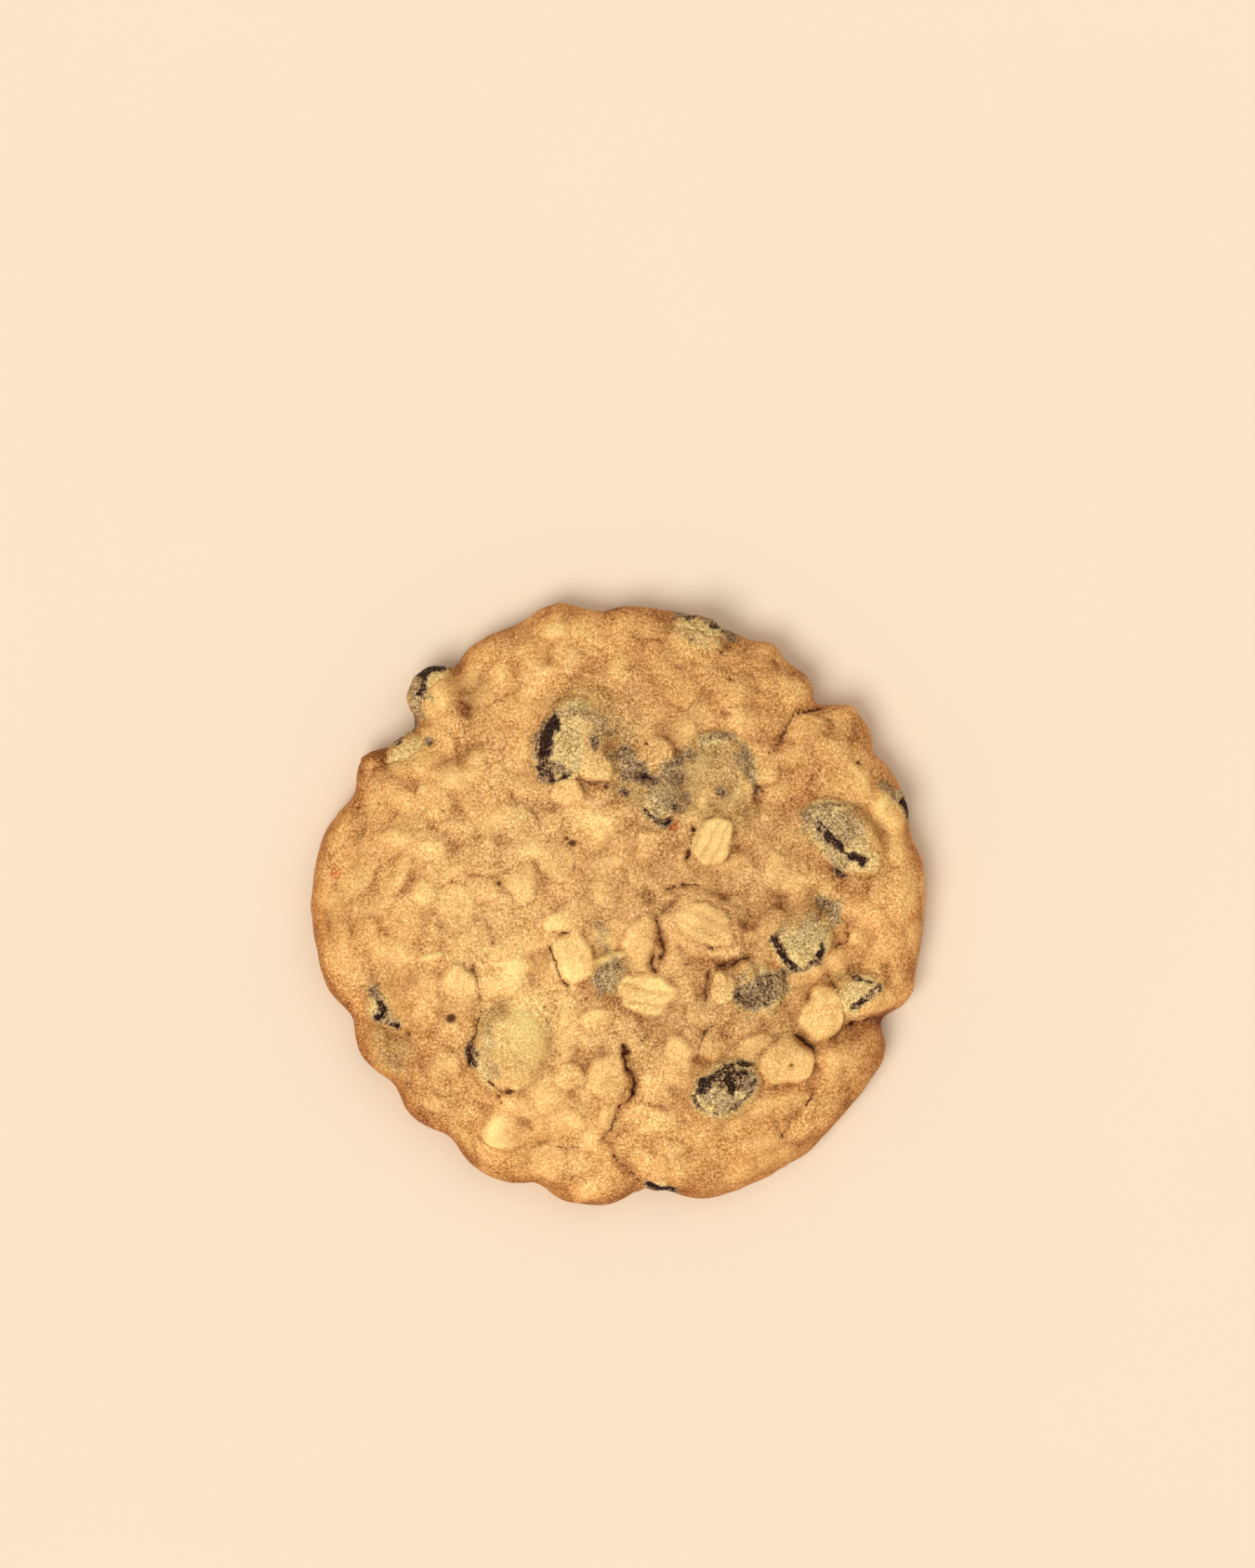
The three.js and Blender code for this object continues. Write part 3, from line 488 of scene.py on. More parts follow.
mound = np.zeros_like(x)
for name in RAISINS:
    mound = np.maximum(mound, SWELL_RISE * (1 - smooth(0.5, SWELL_REACH, over_raisin(name, x, y)[0])))

# Slow waves of the surface: wavelength, direction in degrees and height.
WAVES = [(31, 20, 0.28), (23, 95, 0.26), (16, 150, 0.22), (12, 55, 0.16)]
waves = np.zeros_like(x)
for i, (length, towards, height) in enumerate(WAVES):
    waves += height * np.sin(2 * math.pi * along_across(x, y, towards)[0] / length + i)

# The crust's relief: lumps, swells over the raisins, coarse unevenness and creases, and the roughness of
# crumbs, which is less on a pale flake.
FLAKE_RISE = 1.65
SUNK = 0.7
PINHOLE_SINK = 0.7
coarse = clouds(place, 6, 2, 1)
crumb = clouds(place, 1.3, 3, 2)
grit = clouds(place, 0.55, 2, 7)
rough = (0.045 * crumb + 0.04 * grit) * (1 - 0.6 * pale)
form = FLAKE_RISE * flake_lift - SUNK + mound * topside + 0.5 * coarse - crease - 0.5 * fold
relief = waves + form + rough - PINHOLE_SINK * pinhole
points = place + out * (crust * relief)[:, None]

# Where the dough meets a raisin it dips in a fine groove, and inside the raisin it keeps out of sight,
# except on the draped side, where it lies over the raisin as a thin sheet. Painted shade darkens the
# groove and the lee, a wider strip round each raisin. Nothing stands over the ceiling.
GROOVE_WIDTH = 0.4
GROOVE_DEPTH = 0.25
LEE_SHADE_WIDTH = 1.5
HIDDEN_DEPTH = 0.9
DRAPE = 0.18
CEILING = 15
CEILING_EASE = 0.8


def keep_under_ceiling(points):
    """Rounds off the points that stand near the ceiling or over it."""
    above = np.maximum(points[:, 2] - CEILING + CEILING_EASE, 0)
    points[:, 2] -= above - CEILING_EASE * np.tanh(above / CEILING_EASE)


groove_shade = np.zeros_like(x)
lee_shade = np.zeros_like(x)
for name, (length, width, height, turn, _, _, _) in RAISINS.items():
    middle = middle_of(name)
    reach, side = over_raisin(name, points[:, 0], points[:, 1])
    draped = smooth(-0.12, 0.12, side + 0.25 * patchy) * topside
    arch = np.where(reach < 1, height / 2 * np.sqrt(np.maximum(1 - reach**2, 0)), 8 * (1 - reach))
    top = middle[2] + DRAPE + arch
    joined = (points[:, 2] + top + np.sqrt((points[:, 2] - top) ** 2 + 0.3)) / 2
    lifted = draped * (1 - smooth(1.1, 1.5, reach))
    points[:, 2] += (joined - points[:, 2]) * lifted
    offset = points - middle
    inner = offset @ turning(-turn) * 2 / np.array([length, width, height])
    distance = np.linalg.norm(inner, axis=1)
    away = (1 - 1 / np.maximum(distance, 0.2)) * np.linalg.norm(offset, axis=1)
    groove_shade = np.maximum(groove_shade, bell(away, GROOVE_WIDTH) * (1 - draped))
    lee_shade = np.maximum(lee_shade, bell(away, LEE_SHADE_WIDTH) * (1 - 0.5 * draped))
    depth = GROOVE_DEPTH * bell(away, GROOVE_WIDTH) + HIDDEN_DEPTH * smooth(-0.25, -0.9, away)
    points -= out * (np.minimum(crust * 2, 1) * depth * (1 - draped))[:, None]
keep_under_ceiling(points)

# The foot is flat, with shallow pits between the crumbs that touched the tray.
PIT_DEPTH = 0.22
foot = 1 - smooth(0, 0.4, crust)
points[:, 2] += foot * smooth(0.15, 0.7, 0.5 + crumb - 0.2 * coarse) * PIT_DEPTH
points[:, 2] = np.maximum(points[:, 2], 0)
put(dough, points)
bpy.ops.object.shade_smooth()

# How far each lump or valley lies below what is round it, over a few millimetres, and how far each seam
# between two lumps does, over one. Each step spreads the form to the points next to it.
HOLLOW_STEPS = (5, 100)
SEAM_STEPS = (1, 14)
edges = np.empty(len(dough.data.edges) * 2, dtype=np.int32)
dough.data.edges.foreach_get("vertices", edges)
first, second = edges[0::2], edges[1::2]
neighbours = np.bincount(edges, minlength=x.size)
averages = [form]
for step in range(HOLLOW_STEPS[1]):
    last = averages[-1]
    total = np.bincount(first, last[second], x.size) + np.bincount(second, last[first], x.size)
    averages.append(0.4 * last + 0.6 * total / neighbours)
hollow = averages[HOLLOW_STEPS[1]] - averages[HOLLOW_STEPS[0]]
seam = averages[SEAM_STEPS[1]] - averages[SEAM_STEPS[0]]

# Where a raisin shows through a thin veil of dough, and how dark: amount, half width and path or middle.
# One row paints the shadow at the foot of the slotted raisin the same way.
VEILS = [
    (1, 1.1, [(-9.4, 26.5), (-10.3, 25.4), (-10.9, 24.2), (-11.2, 22.4)]),
    (0.8, 1.2, [(-11.2, 22), (-11.4, 20.4), (-10.4, 19)]),
    (0.86, 0.25, [(-12.2, 20.6), (-11, 18.5), (-9.4, 18), (-8, 18.6)]),
    (0.62, 1.3, [(-10, 20.2), (-8.4, 19.9)]),
    (0.44, 1.2, [(-8.6, 27.8), (-5.8, 28.4), (-3.2, 27.2), (-1.8, 25.2)]),
    (0.33, 2.4, [(-7.8, 25.4), (-7.4, 21.4)]), (0.68, 0.55, [(-3.7, 23.9), (-3.6, 23.2)]),
    (0.36, 1, [(-3.8, 25), (-3, 24)]), (0.2, 2, [(-8.6, 29.4), (-5, 30.6), (-2, 29.4)]),
    (0.27, 2, [(-3, 28.2), (0, 26.6), (0.8, 24)]), (0.3, 3.2, [(10.4, 19.6), (10.8, 15.4)]),
    (0.29, 3.6, [(14, 20.6), (15.4, 16.6)]), (0.22, 2.2, [(12, 13.4), (18, 13.6)]),
    (0.6, 1.2, [(0.4, 21.8), (1.8, 20.6), (3.4, 19)]), (0.6, 1, [(1, 19.6), (3, 18.4)]),
    (0.76, 0.4, [(3, 18.9), (4.2, 18.5), (4.9, 18.2)]), (0.36, 2, [(-0.6, 21.4), (2, 19.2), (4.6, 17.6)]),
    (0.3, 1.6, [(0.4, 17), (4, 15.4)]), (0.75, 0.4, [(0.4, 16.6), (0.9, 16.2)]),
    (0.55, 1.4, [(5.8, 18.4), (8.4, 21), (9.6, 21.6)]), (0.47, 2.7, [(6, 16.4), (7.6, 18.6)]),
    (0.5, 2.5, [(5.4, 14.6), (7.6, 15)]), (0.8, 0.3, [(3.5, 14), (4.2, 13.1), (5.2, 12.4)]),
    (0.9, 0.34, [(5.4, 12.1), (6.4, 11.9), (7, 12.4)]), (0.75, 0.3, [(7.6, 14.1), (8.4, 14.8)]),
    (0.28, 3.4, [(12.6, 21.6), (14.8, 20.4), (14.6, 17.4)]),
    (0.5, 0.6, [(11.9, 23.6), (14, 24.7), (16, 24.6), (17.6, 23.2), (18.9, 21), (19.6, 18.4),
                (19.7, 16.8)]),
    (0.5, 1.1, [(17.6, 21.4), (18.7, 19.4)]),
    (0.62, 0.7, [(14.7, 16.5), (15.3, 16)]), (0.47, 3.2, [(29.4, 12), (33, 10.8)]),
    (0.24, 2.6, [(33.6, 11.4), (36.2, 8)]), (0.46, 1.2, [(30, 8.6), (32.4, 6)]),
    (0.55, 0.5, [(27.2, 13.4), (29.4, 14.7), (32.4, 14.6)]),
    (0.2, 0.4, [(32.4, 14.6), (35.4, 12.6), (37.6, 9.8)]), (0.8, 0.7, [(28.9, 11.8), (30, 10.4)]),
    (0.93, 0.85, [(30.2, 10.2), (31.2, 9.2)]), (1, 0.25, [(31.9, 8.8), (32.3, 7.9), (33.2, 7.3)]),
    (0.97, 0.6, [(33.6, 7.2), (34.6, 6.8), (35.4, 6.3)]),
    # Painted shadow at the foot of the slotted raisin.
    (0.66, 0.25, [(31.2, 5.2), (31.9, 4.5), (33, 4.2)]),
    (0.37, 2.8, [(24.8, -4.6), (27.4, -5.4), (28.2, -2.4)]),
    (0.56, 1.1, [(29.6, 0.4), (31.2, -0.6), (31.2, -2)]), (0.6, 0.35, [(23.4, -3.6), (22.3, -4.6)]),
    (0.95, 0.2, [(22.2, -4.7), (22.7, -6.4), (23.8, -8.2), (25, -9.3)]),
    (0.9, 0.2, [(23, -6), (23.9, -7.6), (25.2, -9)]), (0.7, 0.6, [(22.6, -5), (23.5, -7.2), (25, -9)]),
    (1, 0.5, [(29.2, -6), (28.9, -7.2)]), (0.7, 0.3, [(25.4, -9.4), (27, -9.1), (28.5, -8.1)]),
    (0.7, 2.9, [(19.2, -13), (20.8, -12.2)]), (0.56, 1.4, [(21.4, -13.4), (22.8, -11.4)]),
    (0.6, 0.5, [(23.8, -9.6), (23.9, -12.3)]), (0.24, 2.4, [(33.2, -12), (34.8, -12)]),
    (0.74, 0.24, [(34, -10.6), (35.4, -10.8), (36.6, -11.2), (37.4, -11.7)]),
    (0.97, 0.35, [(37.4, -11.7), (37.7, -12.2)]),
    (0.82, 0.28, [(36.6, -12.2), (35.6, -13.4), (34.6, -14.4), (34, -14.8)]),
    (0.68, 2.2, [(14.6, -25.6), (17.4, -25.2)]), (0.48, 2.4, [(13.4, -27.8), (15.6, -28)]),
    (0.95, 0.5, [(11.2, -27), (12, -25.5), (13.2, -24.5)]),
    (0.88, 0.32, [(13.2, -24.4), (15, -23.4), (17, -22.8), (18.8, -22.9)]),
    (0.97, 0.6, [(15.6, -24.9), (16, -26.2), (16.2, -27.5)]),
    (0.86, 0.34, [(16.4, -25), (17.4, -24.3), (18.2, -24.1)]),
    (0.8, 0.9, [(12.2, -26.4), (14, -24.9), (16.6, -23.9)]), (0.62, 1, [(17.4, -25.4), (19, -24.6)]),
    (0.82, 0.2, [(10.7, -27.6), (11, -28.8), (12.2, -29.9), (14, -30.3)]),
    (0.7, 0.3, [(16.4, -29.4), (18.6, -27.4), (19.6, -25.2)]), (0.5, 2, [(-2.4, -10.8), (-0.8, -9.8)]),
    (0.62, 0.5, [(-3.2, -9.9), (-2.2, -9.1), (-0.6, -8.5)]), (0.6, 0.9, [(-3.2, -10.8), (-2.6, -12.2)]),
    (0.36, 1.1, [(-2.7, -3.4), (-2.6, -5.8)]), (0.6, 0.8, [(-36.2, -12.6), (-35, -13.8)]),
    (0.42, 1.4, [(-34.8, -15.4), (-33.4, -16.6)]),
    (0.85, 0.6, [(-35.1, -13.8), (-34.4, -14.8), (-34.2, -16.2)]),
    (1, 0.65, [(-35.1, -16.4), (-34.6, -16.2)]), (0.85, 0.3, [(-34, -17.1), (-32.2, -17.6)]),
    (0.24, 2.8, [(-34.6, -18.4), (-33.2, -20.8)]), (0.32, 1.5, [(-34.2, -22.4), (-32.6, -22.8)]),
    (0.08, 4, [(-17.4, -19.6), (-15.4, -22.6)]), (0.28, 1.2, [(-19.6, -15.8), (-16.8, -16.4)]),
    (0.21, 4.6, [(-16.8, -18.6), (-15.6, -21.6)]),
    (0.36, 1.3, [(-19.4, -17.4), (-19.2, -20.6), (-18.4, -24)]), (0.2, 1.4, [(-11, -15.6), (-10.8, -19)]),
    (0.86, 0.4, [(-22.4, -21.4), (-21.7, -22.3), (-21.2, -23)]),
    (0.7, 0.5, [(-21.6, -20.6), (-20.9, -21.6)]), (1, 1.3, [(-26.6, 35.2), (-28, 34.8), (-29, 33.8)]),
    (0.9, 0.9, [(-28.2, 34.2), (-28.7, 33.4)]), (0.84, 0.8, [(-28.5, 33), (-28.5, 31.2)]),
    (0.6, 0.5, [(-28.6, 29.8), (-27.4, 30.1)]), (0.52, 1.2, [(-29.6, 32.8), (-29.4, 28)]),
    (0.62, 0.9, [(-33.4, 24), (-31.8, 25.4), (-30, 26.4)]), (0.76, 0.45, [(-33, 24), (-32, 24.8)]),
    (0.2, 2.2, [(-32, 21.6), (-29.6, 23)]), (0.8, 0.3, [(-27.9, 23.5), (-27.2, 23.3)]),
    (0.34, 1.9, [(9.4, 40.2), (13.8, 39.2)]), (0.62, 0.9, [(8.6, 42.8), (12, 42), (15, 40.8), (17, 39.8)]),
    (0.95, 0.4, [(9.4, 42.2), (11.6, 42)]), (0.9, 0.4, [(13.4, 40.7), (14.9, 40.6)]),
    (0.95, 0.6, [(41.2, 15.2), (41.9, 13)]), (0.5, 1, [(38.8, 17.2), (40.6, 15.6)]),
    (0.97, 0.5, [(4, -40.6), (5.5, -41.5), (6.8, -41.6), (8, -42.2)]),
]


def veil_at(px, py, ruffle):
    """How much of the raisins shows at each place in plan, from 0 to 1, with edges moved by ruffle."""
    shows = np.zeros_like(px)
    for amount, half_width, path in VEILS:
        away = distance_to(path, px, py) + ruffle * (0.4 + 0.4 * half_width)
        core = amount * (1 - smooth(0.5 * half_width, 1.25 * half_width + 0.25, away))
        halo = 0.55 * amount * (1 - smooth(half_width, 1.1 * half_width + 0.6, away))
        shows = np.maximum(shows, np.maximum(core, halo))
    return shows


# Small spots where the oven caught the fruit and turned it orange: middle and radius.
ORANGE_SPOTS = [
    (7.8, 11.7, 0.9), (6.6, 12.2, 0.5), (41.4, 17.6, 0.8), (42.6, -1.6, 0.7), (-42, 4.6, 0.8),
    (44, 6.4, 0.6),
]
orange = np.zeros_like(x)
for spot_x, spot_y, radius in ORANGE_SPOTS:
    away = np.hypot(x - spot_x, y - spot_y) + stray[:, 0]
    orange = np.maximum(orange, 1 - smooth(0.3 * radius, 1.3 * radius, away))

# Broad patches made paler or darker: middle, reach, and step in lightness. On the rim, the patches at (42, 1)
# and (-9, 41) are painted light where it faces away from the key lamp, and those at (-1, -42) and (-37, -20)
# painted shade where it faces the lamp.
TONES = [
    (-14, -10, 10, 0.045), (4, 3, 6, -0.05), (36, -21, 6, -0.06), (-20, -21, 6, 0.02), (-11, -28, 7, 0.035),
    (-3, -9, 7, 0.06), (-4, -37, 7, 0.04), (37, 15, 8, 0.04), (28, 29, 6, 0.025), (-26, 5, 8, 0.02),
    (-28, -29, 5, -0.045), (18, 2, 6, -0.035), (4, 19, 6, -0.05), (20, 25, 7, 0.01), (42, 1, 6, 0.02),
    (-1, -42, 4, -0.06), (-37, -20, 4, -0.03), (-32, -22, 4, -0.05), (-36, -5, 5, 0.015),
    (-16, -32, 4, 0.045), (-36, 30, 5, -0.03), (28, 20, 5, -0.04), (20, 12, 5, -0.06), (38, 13, 5, 0.04),
    (28, 4, 5, -0.025), (20, -4, 5, -0.045), (-12, -20, 6, 0.03), (20, -20, 5, -0.055), (4, 36, 6, -0.03),
    (12, 28, 6, -0.035), (36, -12, 4, 0.03), (-9, 41, 5, 0.09), (-36, 19, 4, -0.05), (12, 36, 6, -0.035),
    (-4, 29, 5, -0.035), (-20, 29, 4, -0.03), (-12, -12, 5, 0.045), (-36, -13, 4, -0.03),
    (12, -20, 4, -0.04), (28, -12, 4, 0.03), (-4, 11.3, 3.6, 0.06),
]
TONE_GAIN = 3


def patch(middle_x, middle_y, reach):
    """A round patch of the crust in plan, 1 in its middle."""
    return np.exp(-((x - middle_x) ** 2 + (y - middle_y) ** 2) / reach**2)


tone = sum(step * patch(*where) for *where, step in TONES)

# The oven browned the rim. On the side away from the key lamp, given in degrees, the rim is painted a little
# lighter with a weaker dark edge, and on one lobe there, middle and reach, most of the browning is left off:
# painted light for the rim that the lamp leaves in shade.
KEY_FAR_SIDE = 25
PAINTED_LIGHT_LOBE = (42, 1, 5)
browning_less_painted_light = (1 - foot) * (1 - 0.8 * patch(*PAINTED_LIGHT_LOBE))

# What the crust's material reads at each point.
crust_values = {
    "pale": pale,
    # Painted shade in the opening of each crack.
    "crack_line_shade": crack_line_shade * topside,
    "pinhole": pinhole,
    # Painted shade in folds, beside cracks, at flake outlines, in the groove and in the strip round each
    # raisin.
    "fold": np.maximum(0.8 * fold, (0.3 * groove_shade + 0.22 * lee_shade) * (0.8 + patchy) * topside),
    # Painted shadow lines along flake outlines.
    "contour": outline_shadows * smooth(-0.5, 0.5, patchy + 0.6 * coarse) * topside,
    "fibre": fibre,
    "fibrous": fibrous * topside,
    "hollow": 0.5 + hollow,
    "seam": 0.5 + seam * topside,
    # Browning and painted shade at the outermost edge.
    "edge": smooth(0.95, 0.995, share) * browning_less_painted_light,
    "rim": np.maximum(smooth(0.92, 1, share), 1 - smooth(3.6, 3.9, z)) * browning_less_painted_light,
    # The side away from the key lamp, which the rim's painted light reads.
    "key_far_side": 0.5 + 0.5 * np.cos(np.arctan2(y, x) - math.radians(KEY_FAR_SIDE)),
    "shows": veil_at(x, y, clouds(place, 1.5, 3, 4)) * topside,
    "orange": orange * topside,
    "tone": 0.5 + TONE_GAIN * tone * topside,
    "outer": smooth(0.45, 0.9, share),
    "foot": foot,
}
for name, values in crust_values.items():
    note(dough, name, values)


def paint(red, green, blue):
    """A colour as eyes see it, from 0 to 255, for a shader."""
    light = [((v / 255 + 0.055) / 1.055) ** 2.4 if v > 10 else v / 3295 for v in (red, green, blue)]
    return (*light, 1)


class Shading:
    """Adds nodes to one material or node group, and joins them."""

    def __init__(self, tree):
        self.tree = tree

    def add(self, kind, inputs, **settings):
        made = self.tree.nodes.new(kind)
        for name, value in settings.items():
            setattr(made, name, value)
        for name, value in inputs.items():
            if isinstance(value, bpy.types.NodeSocket):
                self.tree.links.new(value, made.inputs[name])
            else:
                made.inputs[name].default_value = value
        return made

    def math(self, operation, first, second=0.0):
        """One sum on two values."""
        return self.add("ShaderNodeMath", {0: first, 1: second}, operation=operation).outputs[0]

    def plus(self, first, second):
        return self.math("ADD", first, second)

    def times(self, first, second):
        return self.math("MULTIPLY", first, second)

    def mix(self, amount, first, second, blend="MIX"):
        """Goes from the first colour to the second."""
        sockets = {0: amount, 6: first, 7: second}
        made = self.add("ShaderNodeMix", sockets, data_type="RGBA", blend_type=blend, clamp_result=True)
        return made.outputs[2]

    def ramp(self, value, low, high, out_low=0.0, out_high=1.0, kind="LINEAR"):
        """Takes low to out_low and high to out_high, and holds both ends."""
        sockets = {"Value": value, "From Min": low, "From Max": high, "To Min": out_low, "To Max": out_high}
        return self.add("ShaderNodeMapRange", sockets, interpolation_type=kind).outputs[0]

    def between(self, value, low, high, out_low=0.0, out_high=1.0):
        """The same along an S-curve."""
        return self.ramp(value, low, high, out_low, out_high, "SMOOTHSTEP")

    def kept(self, name):
        """A value that note() kept on the piece."""
        return self.add("ShaderNodeAttribute", {}, attribute_name=name).outputs["Fac"]

    def speckle(self, size, detail=2.0, roughness=0.6):
        """Random grain of a given size in millimetres, about 0.5 in the middle."""
        where = self.add("ShaderNodeTexCoord", {}).outputs["Object"]
        sockets = {"Vector": where, "Scale": 1 / (size * MM), "Detail": detail, "Roughness": roughness}
        return self.add("ShaderNodeTexNoise", sockets).outputs[0]


def new_group(name, inputs, outputs):
    """Makes an empty node group and returns its shading, its input node and its output node."""
    tree = bpy.data.node_groups.new(name, "ShaderNodeTree")
    for in_out, sockets in (("INPUT", inputs), ("OUTPUT", outputs)):
        for socket, kind in sockets.items():
            tree.interface.new_socket(socket, in_out=in_out, socket_type="NodeSocket" + kind)
    return Shading(tree), tree.nodes.new("NodeGroupInput"), tree.nodes.new("NodeGroupOutput")


def finish_group(shade, group_out, **results):
    """Joins a group's results to its output and returns the group."""
    for name, value in results.items():
        shade.tree.links.new(value, group_out.inputs[name])
    return shade.tree


def new_material(name):
    """Makes an empty material and returns it with its shading."""
    made = bpy.data.materials.new(name)
    made.use_nodes = True
    made.node_tree.nodes.clear()
    return made, Shading(made.node_tree)


def finish_material(shade, sockets, bump_height, bump_distance, **fixed):
    """Adds the Principled shader with its bump, and the output."""
    bump_sockets = {"Height": bump_height, "Distance": bump_distance * MM, "Strength": 1}
    bump = shade.add("ShaderNodeBump", bump_sockets)
    principled = shade.add("ShaderNodeBsdfPrincipled", {**sockets, **fixed, "Normal": bump.outputs[0]})
    shade.add("ShaderNodeOutputMaterial", {"Surface": principled.outputs[0]})


# The grain of baked dough: fine crumbs, each lighter or darker than the crust by the same step in red,
# green and blue as the eye sees them. Step shifts a whole patch, red and green more than blue.
EYE = 2.2
BAKED_STEP = (1.15, 1.08, 0.76)
GRAIN_STEP = 0.6
FINE_SHARE = 0.95
shade, group_in, group_out = new_group(
    "dough_grain",
    {"Colour": "Color", "Strength": "Float", "Step": "Float"},
    {"Colour": "Color", "Grain": "Float", "Height": "Float"},
)
strength = group_in.outputs["Strength"]
fine = shade.speckle(0.34, 2, 0.65)
coarser = shade.speckle(1.1, 2, 0.5)
fine_part = shade.times(shade.ramp(fine, 0.23, 0.77), FINE_SHARE)
grain = shade.plus(fine_part, shade.times(shade.ramp(coarser, 0.3, 0.7), 1 - FINE_SHARE))
grain_step = shade.times(shade.math("SUBTRACT", grain, 0.5), shade.times(strength, GRAIN_STEP))
patch_sockets = {0: BAKED_STEP, "Scale": group_in.outputs["Step"]}
patch_step = shade.add("ShaderNodeVectorMath", patch_sockets, operation="SCALE").outputs[0]
step = shade.add("ShaderNodeVectorMath", {0: patch_step, 1: grain_step}, operation="ADD").outputs[0]
as_seen = shade.add("ShaderNodeGamma", {"Color": group_in.outputs["Colour"], "Gamma": 1 / EYE}).outputs[0]
shifted = shade.mix(1, as_seen, step, "ADD")
stepped = shade.add("ShaderNodeGamma", {"Color": shifted, "Gamma": EYE}).outputs[0]
bumps = shade.plus(shade.times(fine, 0.5), shade.times(coarser, 1.1))
grain_height = shade.times(bumps, shade.plus(strength, 0.2))
dough_grain = finish_group(shade, group_out, Colour=stepped, Grain=grain, Height=grain_height)

# Raisin under a veil of dough: dough, then an olive film, then grey, and at last bare plum-black skin. The
# veil is smeared and broken by crumbs. Grit is how strong its grain is: more where it is thin, less on skin.
OLIVE_FILM = (0.89, 0.955, 0.93, 1)
shade, group_in, group_out = new_group(
    "raisin_veil",
    {"Colour": "Color", "Shows": "Float"},
    {"Colour": "Color", "Bare": "Float", "Grit": "Float"},
)
shows = group_in.outputs["Shows"]
half_covered = shade.times(shade.between(shows, 0.05, 0.5), shade.between(shows, 1.2, 0.8))
smears = shade.math("SUBTRACT", shade.between(shade.speckle(1.3, 3, 0.7), 0.3, 0.7), 0.5)
crumbs = shade.math("SUBTRACT", shade.between(shade.speckle(0.4, 2, 0.65), 0.3, 0.7), 0.5)
dusted = shade.times(crumbs, shade.ramp(shows, 0.4, 0.75, 0.08, 0.42))
broken = shade.plus(dusted, shade.times(smears, 0.18))
amount = shade.plus(shows, shade.times(broken, half_covered))
olive = shade.mix(shade.ramp(amount, 0, 0.27), group_in.outputs["Colour"], OLIVE_FILM, "MULTIPLY")
grey = shade.mix(shade.ramp(amount, 0.22, 0.54), olive, paint(170, 140, 99))
dusk = shade.mix(shade.ramp(amount, 0.52, 0.8), grey, paint(120, 87, 56))
plum = shade.mix(shade.ramp(amount, 0.74, 0.98), dusk, paint(42, 16, 7))
bare_amount = shade.between(amount, 0.75, 1)
grit = shade.times(shade.ramp(amount, 0.1, 0.7, 1, 1.35), shade.ramp(amount, 0.8, 1, 1, 0.5))
raisin_veil = finish_group(shade, group_out, Colour=plum, Bare=bare_amount, Grit=grit)

# The crust's colour: tan, with pale oats, a browned rim and foot, orange spots and shaded folds.
dough_material, shade = new_material("baked_crust")
key_far_side = shade.kept("key_far_side")
tan = shade.mix(shade.between(shade.speckle(11, 3), 0.35, 0.65), paint(222, 166, 102), paint(232, 180, 113))
outer = shade.mix(shade.times(shade.kept("outer"), 0.6), tan, paint(230, 163, 91))
oat_amount = shade.times(shade.kept("pale"), shade.between(shade.speckle(1.8, 3), 0.2, 0.6, 0.75, 1))
oat = shade.mix(oat_amount, outer, paint(243, 197, 124))
# Painted light: the rim is a little lighter and less orange on the side away from the key lamp.
rim_colour = shade.mix(key_far_side, paint(219, 146, 76), paint(216, 151, 87))
rim_amount = shade.times(shade.kept("rim"), shade.between(shade.speckle(3, 3), 0.3, 0.65, 0.5, 0.95))
rimmed = shade.mix(rim_amount, oat, rim_colour)
# The outermost edge is browned, with painted shade that is stronger on the side the key lamp lights.
edge_shade_amount = shade.times(shade.kept("edge"), shade.ramp(key_far_side, 0, 1, 0.85, 0.4))
edge_darkened = shade.mix(edge_shade_amount, rimmed, paint(178, 116, 60))
foot_patches = shade.between(shade.speckle(7, 4), 0.4, 0.65)
foot_colour = shade.mix(foot_patches, paint(184, 120, 66), paint(146, 88, 46))
baked = shade.mix(shade.times(shade.kept("foot"), 0.8), edge_darkened, foot_colour)
caught = shade.mix(shade.times(shade.kept("orange"), 0.7), baked, paint(224, 112, 56))
# Painted shade darkens the folds, the crust beside cracks and round raisins, and the foot of flake outlines.
fold_shaded = shade.mix(shade.times(shade.kept("fold"), 0.7), caught, paint(160, 112, 66))
veil = shade.add("ShaderNodeGroup", {"Colour": fold_shaded, "Shows": shade.kept("shows")}, node_tree=raisin_veil)

# Its steps in lightness: painted shade in valleys and seams and painted light on crowns and lips, toasted
# patches, and on a flake a faint painted shadow along its outline and the dark lines between its fibres.
valley_shade = shade.between(shade.kept("hollow"), 0.5, 1, 0, -0.12)
crown_light = shade.between(shade.kept("hollow"), 0.5, 0.1, 0, 0.05)
seam_shade = shade.between(shade.kept("seam"), 0.55, 1, 0, -0.07)
lip_light = shade.between(shade.kept("seam"), 0.45, 0, 0, 0.05)
relief_light_step = shade.plus(shade.plus(valley_shade, crown_light), shade.plus(seam_shade, lip_light))
frayed = shade.plus(shade.kept("contour"), shade.times(shade.speckle(0.7, 2), 0.6))
wander = shade.times(shade.speckle(3, 2), 8)
fibres = shade.math("SINE", shade.plus(shade.times(shade.kept("fibre"), 42), wander))
fibre_step = shade.times(shade.between(fibres, 0.3, 1, 0, -0.085), shade.kept("fibrous"))
fibre_and_outline_shadow_step = shade.plus(fibre_step, shade.between(frayed, 0.6, 0.9, 0, -0.06))
toasted = shade.between(shade.speckle(7, 2), 0.3, 0.7, 0.035, -0.055)
